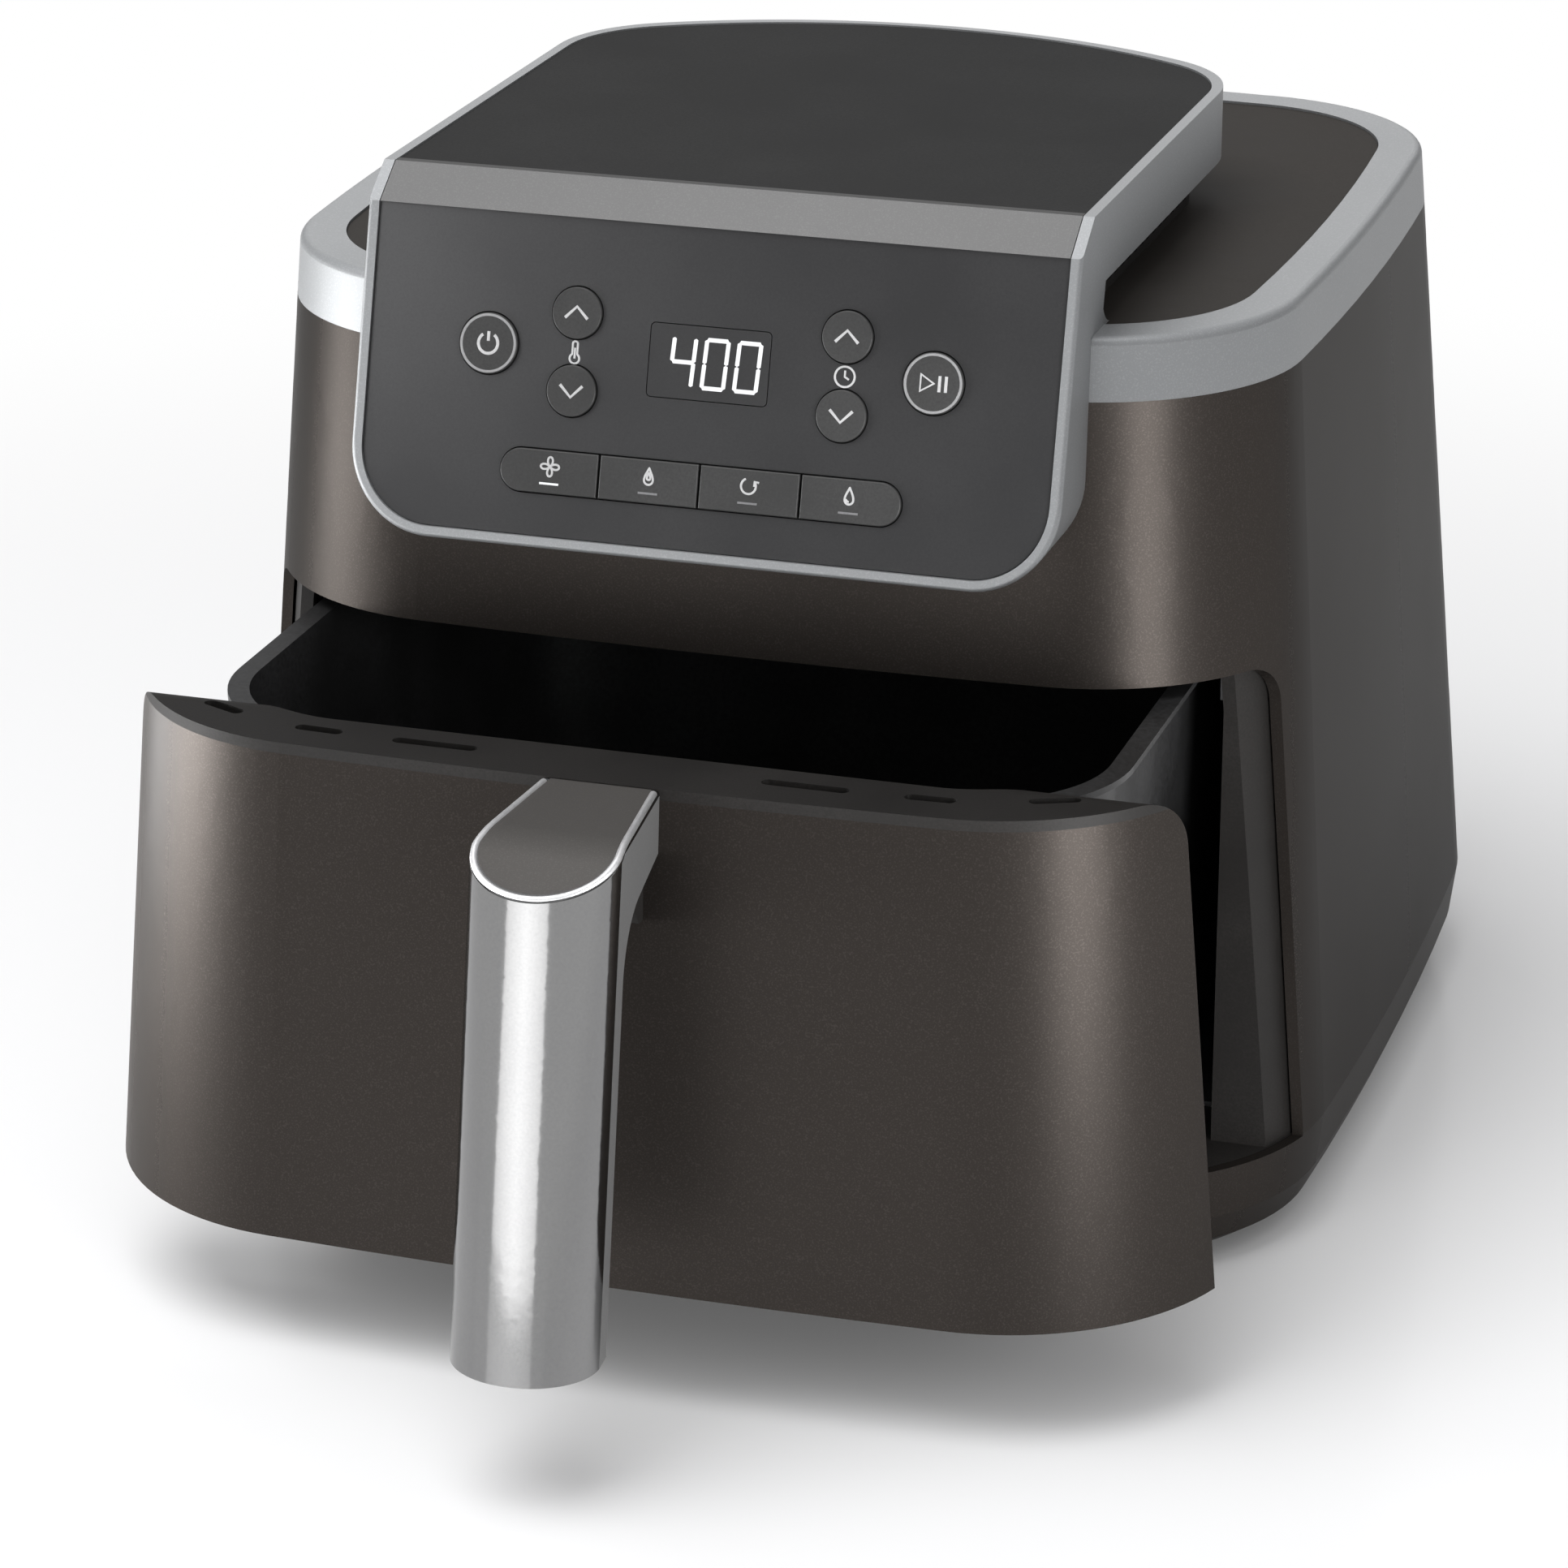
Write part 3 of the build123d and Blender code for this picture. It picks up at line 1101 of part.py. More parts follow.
def fan_motor():
    """Motor can with cooling slots, bored for its bushes."""
    top = MOTOR_Z + MOTOR_HIGH
    can = post(0, FAN_Y, MOTOR_Z, top, MOTOR)
    can = fillet(can.edges().group_by(Axis.Z)[-1], 3 * SHEET)
    can -= post(0, FAN_Y, MOTOR_Z, top, SHAFT + 4 * SHAFT_FIT + 2 * SEAT)
    for z in (MOTOR_Z, top - BUSH_LONG):
        can -= post(0, FAN_Y, z, z + BUSH_LONG, BUSH)
    slot = Pos(MOTOR / 2, 0, MOTOR_Z + MOTOR_HIGH / 2) * Box(*MOTOR_SLOT)
    for index in range(MOTOR_SLOTS):
        can -= Pos(0, FAN_Y, 0) * Rot(0, 0, 360 * index / MOTOR_SLOTS) * slot
    return can


def shaft_bushes():
    bore = SHAFT + 2 * SHAFT_FIT
    return [
        post(0, FAN_Y, z, z + BUSH_LONG, BUSH) - post(0, FAN_Y, z, z + BUSH_LONG, bore)
        for z in (MOTOR_Z, MOTOR_Z + MOTOR_HIGH - BUSH_LONG)
    ]


def motor_bracket():
    """Plate under the motor on four posts from the liner's roof."""
    plate = Pos(0, FAN_Y, MOTOR_Z - 2 * SHEET) * extrude(
        RectangleRounded(2 * BRACKET_HALF, 2 * BRACKET_HALF, BRACKET_POST), 2 * SHEET)
    edge = BRACKET_HALF - BRACKET_POST
    for x, y in [(i * edge, j * edge) for i in (-1, 1) for j in (-1, 1)]:
        plate += post(x, FAN_Y + y, LINER_TOP_Z, MOTOR_Z, BRACKET_POST)
    return plate - post(0, FAN_Y, LINER_TOP_Z, MOTOR_Z, 2 * SHAFT)


# Services at the back and sides.
def vent_window(grow=0.0):
    """Block through the back wall where the vent sits."""
    side, low, high = VENT_HALF + DUCT_MARGIN, VENT_LOW_Z - DUCT_MARGIN, VENT_HIGH_Z + DUCT_MARGIN
    return block(-side - grow, side + grow, LINER_BACK_Y, FAR, low - grow, high + grow)


def rear_vent():
    """Slatted cover in the back wall, over the exhaust duct."""
    cover = (housing(WIDE_Z, BAND_Z) - housing(WIDE_Z, BAND_Z, SKIN)) & vent_window()
    pitch = (VENT_HIGH_Z - VENT_LOW_Z) / VENT_SLATS
    half = VENT_HALF - DUCT_MARGIN
    for index in range(VENT_SLATS):
        z = VENT_LOW_Z + (index + 0.5) * pitch
        cover -= block(-half, half, LINER_BACK_Y, FAR, z - VENT_SLAT_GAP / 2, z + VENT_SLAT_GAP / 2)
    return cover


def exhaust_duct():
    """Square duct from the liner's back to the vent."""
    tube = block(-VENT_HALF, VENT_HALF, LINER_BACK_Y, FAR, VENT_LOW_Z, VENT_HIGH_Z)
    inside = VENT_HALF - DUCT_WALL
    low, high = VENT_LOW_Z + DUCT_WALL, VENT_HIGH_Z - DUCT_WALL
    tube -= block(-inside, inside, LINER_BACK_Y, FAR, low, high)
    return tube & housing(WIDE_Z, BAND_Z, SKIN)


def gland_bore(radius):
    return Pos(GLAND_X, BACK_REACH, GLAND_Z) * Rot(90, 0, 0) * Cylinder(radius, BACK_REACH / 2)


def cord_gland():
    """Bushing in the back wall, flanged outside and inside, bored for a mains lead."""
    outside = Rot(90, 0, 0) * Cylinder(GLAND_FLANGE / 2, FAR)
    flanges = (Pos(GLAND_X, 0, GLAND_Z) * outside) & block(-FAR, FAR, 0, FAR, 0, FAR)
    inner = housing(WIDE_Z, BAND_Z, SKIN) - housing(WIDE_Z, BAND_Z, 2 * SKIN)
    body = (flanges & inner) + (gland_bore(GLAND / 2) & housing(WIDE_Z, BAND_Z))
    body &= housing(WIDE_Z, BAND_Z) - housing(WIDE_Z, BAND_Z, 2 * SKIN)
    return body - gland_bore(GLAND_BORE / 2)


def power_board():
    """Circuit board on stand-offs over the liner, with its relay, capacitor and terminals."""
    wide, long = POWER_BOARD
    low = LINER_TOP_Z + POWER_BOARD_LIFT
    high = low + BOARD_THICK
    board = block(POWER_BOARD_X - wide / 2, POWER_BOARD_X + wide / 2, -long / 2, long / 2, low, high)
    for i in (-1, 1):
        for j in (-1, 1):
            x = POWER_BOARD_X + i * (wide / 2 - POST / 2)
            board += post(x, j * (long / 2 - POST / 2), LINER_TOP_Z, low, POST / 2)
    left, right = POWER_BOARD_X - wide / 4, POWER_BOARD_X + wide / 4
    board += block(left, right, -long / 3, -long / 8, high, high + 2 * POWER_BOARD_LIFT)
    board += post(POWER_BOARD_X, long / 16, high, high + 2 * POWER_BOARD_LIFT, wide / 3)
    board += block(left, right, long / 4, 2 * long / 5, high, high + POWER_BOARD_LIFT)
    return board


def temperature_sensor():
    """Probe through the liner's roof, with a flange above it."""
    rod = post(*SENSOR, LINER_TOP_Z - SENSOR_LONG, LINER_TOP_Z, SENSOR_ROD)
    rod = fillet(rod.edges().group_by(Axis.Z)[0], SENSOR_ROD / 4)
    return rod + post(*SENSOR, LINER_TOP_Z, LINER_TOP_Z + SENSOR_ROD, 3 * SENSOR_ROD)


def plunger_tip():
    """Y of the plunger's tip, just clear of the pan when the drawer is shut."""
    return PAN_BACK_Y - PAN_DRAFT * (PAN_TOP_Z - INTERLOCK_Z - PLUNGER) + RUN


def plunger_rod(diameter):
    end = LINER_BACK_Y + PLUNGER_DEEP
    tip = plunger_tip()
    return Pos(INTERLOCK_X, (tip + end) / 2, INTERLOCK_Z) * Rot(90, 0, 0) * Cylinder(diameter / 2, end - tip)


def interlock_plunger():
    return plunger_rod(PLUNGER)


def interlock_switch():
    """Switch block on the liner's back, with a bore deep enough for the plunger's travel."""
    wide, long, tall = INTERLOCK
    start = LINER_BACK_Y
    body = block(
        INTERLOCK_X - wide / 2, INTERLOCK_X + wide / 2, start, start + long,
        INTERLOCK_Z - tall / 2, INTERLOCK_Z + tall / 2)
    bore = plunger_rod(PLUNGER + 2 * RUN)
    return body - bore - Pos(0, PLUNGER_TRAVEL + RUN, 0) * bore


def keep(name, shape, drawn_out=False):
    """Files a piece under its node's name, at its place at rest and in the part's own frame."""
    out = DRAWER_OUT if drawn_out else 0.0
    pieces = shape if isinstance(shape, list) else [shape]
    nodes[name] = [Pos(0, SHIFT_Y - out, 0) * piece for piece in pieces]


for make in (
    housing_shell, base_plate, rubber_feet, base_screws, rim_band, top_deck, opening_frame,
    head_bezel, control_fascia, front_strip, head_top_cover, intake_grille,
    display_lens, display_module, control_board, tact_switches,
    chamber_liner, drawer_rails, heat_reflector, heating_element, element_guard,
    motor_shaft, hub_nut, fan_motor, shaft_bushes, motor_bracket,
    rear_vent, exhaust_duct, cord_gland, power_board, temperature_sensor,
    interlock_switch, interlock_plunger,
):
    keep(make.__name__, make())
keep("convection_fan", fan_wheel(FAN_Z, FAN_RADIUS, FAN_HUB, FAN_HIGH, FAN_BLADES, FAN_BLADE_TURN))
keep("cooling_fan", fan_wheel(
    cooler_z(), COOLER_RADIUS, FAN_HUB, COOLER_HIGH, COOLER_BLADES, COOLER_BLADE_TURN))
for name, place in ROUND_BUTTONS.items():
    keep(name, round_button(*place))
for index, name in enumerate(FUNCTION_KEYS):
    keep(name, function_key(index))
for make in (
    drawer_front, drawer_cap, drawer_inner_shell, basket_pan,
    crisper_plate, crisper_bumpers, handle_screws, handle_bracket,
):
    keep(make.__name__, make(), drawn_out=True)
handle_shell, handle_top_inlay, handle_core = handle_pieces()
keep("handle_shell", handle_shell, drawn_out=True)
keep("handle_top_inlay", handle_top_inlay, drawn_out=True)
keep("handle_core", handle_core, drawn_out=True)

os.makedirs("parts", exist_ok=True)
for name, pieces in nodes.items():
    solids = [solid for piece in pieces for solid in piece.solids()]
    whole = solids[0] if len(solids) == 1 else Compound(children=solids)
    export_step(whole, f"parts/{name}.step")
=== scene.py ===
import bpy
import json
from math import cos, pi, radians, sin, tan
from mathutils import Matrix, Vector


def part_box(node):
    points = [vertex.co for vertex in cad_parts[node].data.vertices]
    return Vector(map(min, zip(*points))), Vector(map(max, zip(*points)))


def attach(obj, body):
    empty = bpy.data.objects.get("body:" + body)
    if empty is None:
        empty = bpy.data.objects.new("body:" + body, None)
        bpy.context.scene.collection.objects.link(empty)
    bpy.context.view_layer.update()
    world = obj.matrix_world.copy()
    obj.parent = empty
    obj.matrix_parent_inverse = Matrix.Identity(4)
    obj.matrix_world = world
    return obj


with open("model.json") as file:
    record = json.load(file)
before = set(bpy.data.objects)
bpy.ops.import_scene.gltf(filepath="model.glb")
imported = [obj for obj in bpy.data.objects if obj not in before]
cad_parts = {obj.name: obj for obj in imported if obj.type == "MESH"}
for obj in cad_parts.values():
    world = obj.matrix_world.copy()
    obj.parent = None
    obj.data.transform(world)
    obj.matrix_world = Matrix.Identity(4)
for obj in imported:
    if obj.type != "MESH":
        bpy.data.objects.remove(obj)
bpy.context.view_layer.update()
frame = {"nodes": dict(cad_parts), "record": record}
nodes = frame["nodes"]

# Sizes in metres, unless a name says otherwise
MM = 0.001
BACK_REACH = 0.1479         # from the housing's middle to its back face
HOUSING_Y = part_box("housing_shell")[1][1] - BACK_REACH
PANEL_EDGE_Y = -0.1223      # upper edge of the control panel, from the housing's middle
PANEL_EDGE_Z = 0.248
PANEL_ANGLE = radians(15.64)

# Camera, about the housing's middle
CAMERA_TURN = radians(17.557)
CAMERA_RISE = radians(21.06)
CAMERA_AWAY = 1.409157
CAMERA_AIM = (-0.023343, 0.0, 0.066926)
CAMERA_LENS = 125.69        # millimetres, as the sensor
CAMERA_SENSOR = 36.0
CAMERA_NEAR = 0.05
CAMERA_FAR = 100.0

# Places on the panel in millimetres: across, and down from its upper edge
RING_BUTTON_X = 52.7
RING_BUTTON_DOWN = 30.1
ARROW_X = 32.0
ARROW_UP_DOWN = 21.5
ARROW_DOWN_DOWN = 39.2
KEY_DOWN = 58.0
KEY_PITCH = 23.7
KEY_SIGN_UP = 1.2           # a key's sign and indicator bar, from the key's middle
KEY_LAMP_DOWN = 2.7
DISPLAY_DOWN = 30.4
SIGN_DOWN = 30.4

# Printed marks in millimetres
RING_RADIUS = 6.45
RING_STEPS = 64
RING_LINE = 0.6
SIGN_LINE = 0.72
SMALL_LINE = 0.5
PRINT_RISE = 0.07           # how far a mark stands out of its surface
PRINT_ROUNDING = 2
LAMP_BAR = 2.3              # half the length of a key's indicator bar

# Signs in millimetres about their middles, and degrees
CHEVRON = ((-2.7, -1.25), (0.0, 1.45), (2.7, -1.25))
FAN_RADIUS = 2.2
FAN_STEPS = 96
TURN_RADIUS = 1.75
TURN_START = 40
TURN_SWEEP = -285
TURN_HEAD = ((1.1, -0.2), (0.0, 0.0), (0.0, -1.12))
DROP_STEPS = 28
DROP_POINT = 1.5            # how sharply a drop narrows to its point
STEM_RADIUS = 0.6           # the thermometer's stem and bulb
STEM_UP = 1.9
BULB_RADIUS = 1.15
BULB_DOWN = 1.45
CLOCK_RADIUS = 2.3
POWER_RADIUS = 2.35
PAUSE_HALF = 1.8            # half the height of the two pause bars

# Digits in millimetres
DIGIT_WIDE = 5.1
DIGIT_HIGH = 10.9
DIGIT_PITCH = 7.7
DIGIT_LINE = 0.95
DIGIT_GAP = 1.15            # how much shorter a bar is than its place, in widths of its line
DIGIT_SLANT = 0.05
DIGITS_X = 1.5
SEGMENTS_OF = {"4": "bcfg", "0": "abcdef"}

PANEL_PLACE = Matrix((
    (1, 0, 0, 0),
    (0, sin(PANEL_ANGLE), -cos(PANEL_ANGLE), HOUSING_Y + PANEL_EDGE_Y),
    (0, cos(PANEL_ANGLE), sin(PANEL_ANGLE), PANEL_EDGE_Z),
    (0, 0, 0, 1),
))


def socket(node, name, value):
    node.inputs[name].default_value = value


def shade(red, green, blue):
    return (red, green, blue, 1)


def grey(level):
    return shade(level, level, level)


def new_group(name, inputs, outputs):
    """Shader node group with its sockets; returns it with its input and output nodes."""
    group = bpy.data.node_groups.new(name, "ShaderNodeTree")
    for label, kind, value in inputs:
        item = group.interface.new_socket(label, in_out="INPUT", socket_type=kind)
        item.default_value = value
    for label, kind in outputs:
        group.interface.new_socket(label, in_out="OUTPUT", socket_type=kind)
    entry = group.nodes.new("NodeGroupInput")
    leave = group.nodes.new("NodeGroupOutput")
    return group, entry, leave


def noise_node(tree, vector, scale, detail, roughness=0.5):
    """Noise on a vector; scale is a number or a socket."""
    node = tree.nodes.new("ShaderNodeTexNoise")
    socket(node, "Detail", detail)
    socket(node, "Roughness", roughness)
    tree.links.new(vector, node.inputs["Vector"])
    if isinstance(scale, (int, float)):
        socket(node, "Scale", scale)
    else:
        tree.links.new(scale, node.inputs["Scale"])
    return node.outputs["Fac"]


def math_node(tree, kind, *values):
    node = tree.nodes.new("ShaderNodeMath")
    node.operation = kind
    for place, value in enumerate(values):
        if isinstance(value, (int, float)):
            node.inputs[place].default_value = value
        else:
            tree.links.new(value, node.inputs[place])
    return node.outputs[0]


def range_node(tree, value, low, high, new_low=0.0, new_high=1.0):
    """Smooth step of a value from one range to another."""
    node = tree.nodes.new("ShaderNodeMapRange")
    node.interpolation_type = "SMOOTHSTEP"
    tree.links.new(value, node.inputs["Value"])
    for name, edge in (("From Min", low), ("From Max", high), ("To Min", new_low), ("To Max", new_high)):
        if isinstance(edge, (int, float)):
            socket(node, name, edge)
        else:
            tree.links.new(edge, node.inputs[name])
    return node.outputs["Result"]


def mix_node(tree, share, first, second):
    node = tree.nodes.new("ShaderNodeMix")
    node.data_type = "RGBA"
    tree.links.new(share, node.inputs["Factor"])
    for name, value in (("A", first), ("B", second)):
        place = [s for s in node.inputs if s.name == name and s.type == "RGBA"][0]
        if isinstance(value, tuple):
            place.default_value = value
        else:
            tree.links.new(value, place)
    return [s for s in node.outputs if s.type == "RGBA"][0]


def object_vector(tree):
    return tree.nodes.new("ShaderNodeTexCoord").outputs["Object"]


COLOUR = "NodeSocketColor"
NUMBER = "NodeSocketFloat"
VECTOR = "NodeSocketVector"
MID_GREY = grey(0.5)
GLOSS_INPUTS = [("Gloss low", NUMBER, 0.3), ("Gloss high", NUMBER, 0.4)]
EFFECT_OUTPUTS = [("Colour", COLOUR), ("Roughness", NUMBER), ("Height", NUMBER)]

# Patterns of the finishes: how fine they are, and the part of their noise that counts
FLAKE_SCALE = 2600.0
FLAKE_BAND = (0.5, 0.72)
FLAKE_GLOSS = 0.06          # how much duller a flake can make the paint
DRIFT_SCALE = 9.0
PEEL_SCALE = 700.0
GRAIN_SCALE = 1800.0
COARSE_GRAIN = 900.0
CLOUD_SCALE = 25.0
PALE_BAND = (0.12, 0.42)
LINE_SCALE = 1500.0
TARNISH_SCALE = 18.0
BRIGHT_BAND = (0.12, 0.4)
GLOSS_BAND = (0.3, 0.7)
FINE_RELIEF = 0.00002       # depth of the bumps
GRAIN_RELIEF = 0.00004
PAINT_BUMP = 0.03
EDGE_TINT = (1.0, 0.98, 0.96)


def gloss_of(group, entry, noise):
    """Roughness between the two limits of a finish, by a noise."""
    return range_node(group, noise, *GLOSS_BAND, entry.outputs["Gloss low"], entry.outputs["Gloss high"])


def put_out(group, leave, colour, gloss, height):
    """Joins an effect's results to the outputs of its group."""
    for label, result in (("Colour", colour), ("Roughness", gloss), ("Height", height)):
        group.links.new(result, leave.inputs[label])


def flake_group():
    """Metallic paint: small bright and dark flakes in a tinted ground, with slow drifts in the gloss."""
    inputs = [("Ground", COLOUR, MID_GREY), ("Flake", COLOUR, MID_GREY), ("Flake scale", NUMBER, FLAKE_SCALE)]
    group, entry, leave = new_group("paint_flakes", inputs + GLOSS_INPUTS, EFFECT_OUTPUTS)
    vector = object_vector(group)
    fine = noise_node(group, vector, entry.outputs["Flake scale"], 1.0)
    spots = range_node(group, fine, *FLAKE_BAND)
    drift = noise_node(group, vector, DRIFT_SCALE, 3.0)
    sparkle = math_node(group, "MULTIPLY_ADD", fine, FLAKE_GLOSS, gloss_of(group, entry, drift))
    peel = noise_node(group, vector, PEEL_SCALE, 2.0)
    colour = mix_node(group, spots, entry.outputs["Ground"], entry.outputs["Flake"])
    put_out(group, leave, colour, sparkle, peel)
    return group


def grain_group():
    """Moulded plastic: fine spark-eroded grain with a slightly uneven shade and gloss."""
    inputs = [("Shade", COLOUR, MID_GREY), ("Pale shade", COLOUR, MID_GREY),
              ("Grain scale", NUMBER, GRAIN_SCALE)]
    group, entry, leave = new_group("moulded_grain", inputs + GLOSS_INPUTS, EFFECT_OUTPUTS)
    vector = object_vector(group)
    grain = noise_node(group, vector, entry.outputs["Grain scale"], 3.0, 0.6)
    cloud = noise_node(group, vector, CLOUD_SCALE, 3.0)
    share = range_node(group, math_node(group, "MULTIPLY", grain, cloud), *PALE_BAND)
    colour = mix_node(group, share, entry.outputs["Shade"], entry.outputs["Pale shade"])
    put_out(group, leave, colour, gloss_of(group, entry, cloud), grain)
    return group


def brushed_group():
    """Rolled or brushed metal: long fine lines along one direction, with cloudy tarnish."""
    inputs = [("Metal", COLOUR, MID_GREY), ("Dull metal", COLOUR, MID_GREY), ("Stretch", VECTOR, EVEN)]
    group, entry, leave = new_group("brushed_lines", inputs + GLOSS_INPUTS, EFFECT_OUTPUTS)
    vector = object_vector(group)
    stretched = group.nodes.new("ShaderNodeVectorMath")
    stretched.operation = "MULTIPLY"
    group.links.new(vector, stretched.inputs[0])
    group.links.new(entry.outputs["Stretch"], stretched.inputs[1])
    lines = noise_node(group, stretched.outputs[0], LINE_SCALE, 4.0, 0.65)
    cloud = noise_node(group, vector, TARNISH_SCALE, 4.0)
    share = range_node(group, math_node(group, "MULTIPLY", lines, cloud), *BRIGHT_BAND)
    colour = mix_node(group, share, entry.outputs["Dull metal"], entry.outputs["Metal"])
    put_out(group, leave, colour, gloss_of(group, entry, lines), lines)
    return group


# How the lines of a brushed metal run: stretched along X, Y or Z, or not at all
ACROSS = (0.02, 1.0, 1.0)
ALONG = (1.0, 0.02, 1.0)
UPRIGHT = (1.0, 1.0, 0.02)
EVEN = (1.0, 1.0, 1.0)

GROUPS = {"flakes": flake_group(), "grain": grain_group(), "brushed": brushed_group()}


def finish(name, effect, settings, bump=0.0, bump_depth=FINE_RELIEF, **shader):
    """Material with one of the effects on its colour, gloss and height, and constants on its shader."""
    material = bpy.data.materials.new(name)
    material.use_nodes = True
    tree = material.node_tree
    surface = tree.nodes["Principled BSDF"]
    group = tree.nodes.new("ShaderNodeGroup")
    group.node_tree = GROUPS[effect]
    for label, value in settings.items():
        socket(group, label, value)
    tree.links.new(group.outputs["Colour"], surface.inputs["Base Color"])
    tree.links.new(group.outputs["Roughness"], surface.inputs["Roughness"])
    if bump:
        relief = tree.nodes.new("ShaderNodeBump")
        socket(relief, "Strength", bump)
        socket(relief, "Distance", bump_depth)
        tree.links.new(group.outputs["Height"], relief.inputs["Height"])
        tree.links.new(relief.outputs["Normal"], surface.inputs["Normal"])
    for label, value in shader.items():
        socket(surface, label.replace("_", " "), value)
    return material


def painted(name, ground, flake, low, high, metallic, specular=0.5, edge=0.5):
    """Flake paint; edge is how much of the glancing reflection it keeps."""
    settings = {"Ground": ground, "Flake": flake, "Flake scale": FLAKE_SCALE,
                "Gloss low": low, "Gloss high": high}
    tint = shade(*(edge * part for part in EDGE_TINT))
    return finish(name, "flakes", settings, PAINT_BUMP,
                  Metallic=metallic, Specular_IOR_Level=specular, Specular_Tint=tint)


def moulded(name, dark, pale, low, high, bump=0.15, specular=0.4, scale=GRAIN_SCALE, **shader):
    settings = {"Shade": dark, "Pale shade": pale, "Grain scale": scale, "Gloss low": low, "Gloss high": high}
    return finish(name, "grain", settings, bump, GRAIN_RELIEF, Specular_IOR_Level=specular, **shader)


def metal(name, bright, dull, stretch, low, high, bump=0.05):
    settings = {"Metal": bright, "Dull metal": dull, "Stretch": stretch, "Gloss low": low, "Gloss high": high}
    return finish(name, "brushed", settings, bump, Metallic=1.0)


# Ground, flakes, least and most roughness, metallic, and where given: specular level, glancing reflection
PAINTS = {
    "bronze_paint": (
        shade(0.0335, 0.0290, 0.0260), shade(0.0460, 0.0402, 0.0364), 0.32, 0.36, 0.6, 0.4, 0.18),
    "silver_paint": (shade(0.37, 0.38, 0.39), shade(0.43, 0.44, 0.45), 0.44, 0.50, 0.5),
    "strip_satin": (grey(0.145), grey(0.170), 0.36, 0.42, 0.5),
    "handle_grey": (grey(0.24), grey(0.28), 0.36, 0.42, 0.5),
    "handle_inlay": (shade(0.088, 0.083, 0.079), shade(0.105, 0.100, 0.095), 0.42, 0.48, 0.3),
}
# Dark and pale shade, least and most roughness, and where given: bump, specular level, grain
PLASTICS = {
    "charcoal_panel": (shade(0.020, 0.020, 0.021), shade(0.026, 0.026, 0.027), 0.48, 0.56, 0.05, 0.25),
    "matte_cover": (grey(0.030), grey(0.039), 0.72, 0.8, 0.2, 0.15),
    "deck_plastic": (shade(0.032, 0.028, 0.0245), shade(0.042, 0.037, 0.033), 0.5, 0.6, 0.1, 0.25),
    "black_plastic": (shade(0.0115, 0.0105, 0.0098), shade(0.0200, 0.0182, 0.0170), 0.5, 0.6, 0.15, 0.25),
    "smoked_lens": (shade(0.030, 0.030, 0.031), shade(0.036, 0.036, 0.037), 0.28, 0.34, 0.0),
    "button_plastic": (grey(0.030), grey(0.042), 0.42, 0.5, 0.1),
    "nonstick": (grey(0.016), shade(0.034, 0.034, 0.035), 0.32, 0.45, 0.1, 0.5, COARSE_GRAIN),
    "silicone": (grey(0.018), grey(0.03), 0.6, 0.7, 0.1),
    "foot_rubber": (grey(0.015), grey(0.03), 0.7, 0.85, 0.2),
    "fan_plastic": (grey(0.03), grey(0.05), 0.5, 0.6),
    "circuit_board": (shade(0.02, 0.09, 0.035), shade(0.03, 0.14, 0.05), 0.35, 0.45, 0.1),
    "switch_plastic": (grey(0.03), grey(0.05), 0.45, 0.6),
    "display_plastic": (grey(0.5), grey(0.62), 0.4, 0.5),
}
# Bright and dull metal, run of the lines, least and most roughness, and where given: bump
METALS = {
    "chrome": (grey(0.27), shade(0.25, 0.25, 0.252), EVEN, 0.12, 0.13, 0.0),
    "liner_steel": (shade(0.42, 0.42, 0.43), grey(0.30), UPRIGHT, 0.32, 0.5),
    "element_sheath": (shade(0.20, 0.19, 0.18), shade(0.12, 0.11, 0.11), EVEN, 0.4, 0.6),
    "guard_steel": (grey(0.55), grey(0.42), EVEN, 0.22, 0.34),
    "motor_metal": (shade(0.45, 0.45, 0.44), shade(0.35, 0.35, 0.34), UPRIGHT, 0.35, 0.5),
    "fan_aluminium": (grey(0.72), grey(0.6), ACROSS, 0.3, 0.45),
    "bush_bronze": (shade(0.55, 0.38, 0.18), shade(0.42, 0.28, 0.13), EVEN, 0.3, 0.45),
    "screw_steel": (grey(0.5), grey(0.4), EVEN, 0.25, 0.4),
    "duct_sheet": (grey(0.5), grey(0.42), ALONG, 0.35, 0.5),
}
FINISHES = {name: painted(name, *row) for name, row in PAINTS.items()}
FINISHES.update((name, moulded(name, *row)) for name, row in PLASTICS.items())
FINISHES.update((name, metal(name, *row)) for name, row in METALS.items())

# Finishes of the trim that is made below
RIM_POLISH = metal("rim_polish", shade(0.88, 0.88, 0.89), shade(0.82, 0.82, 0.83), EVEN, 0.44, 0.52, 0.0)
PRINT = moulded("panel_print", shade(0.46, 0.46, 0.465), shade(0.54, 0.54, 0.545), 0.4, 0.5, 0.0)
RING_PRINT = moulded("ring_print", shade(0.26, 0.26, 0.265), shade(0.31, 0.31, 0.315), 0.4, 0.5, 0.0)
FAINT_PRINT = moulded("faint_print", shade(0.16, 0.16, 0.165), shade(0.2, 0.2, 0.205), 0.4, 0.5, 0.0)
LIT = moulded("lit_segments", shade(0.5, 0.51, 0.52), shade(0.6, 0.6, 0.61), 0.3, 0.4, 0.0,
              Emission_Color=shade(0.95, 0.97, 1.0), Emission_Strength=0.4)

for part in frame["record"]["subparts"]:
    node = nodes[part["node"]]
    node.data.materials.clear()
    node.data.materials.append(FINISHES[part["material_slot"]])


def panel_height(node_name):
    """How far the outermost face of a CAD node stands out of the panel's plane."""
    flat = PANEL_PLACE.inverted()
    return max((flat @ vertex.co).z for vertex in nodes[node_name].data.vertices)


def only(piece):
    """Makes one piece the active and only selected one."""
    bpy.ops.object.select_all(action="DESELECT")
    piece.select_set(True)
    bpy.context.view_layer.objects.active = piece


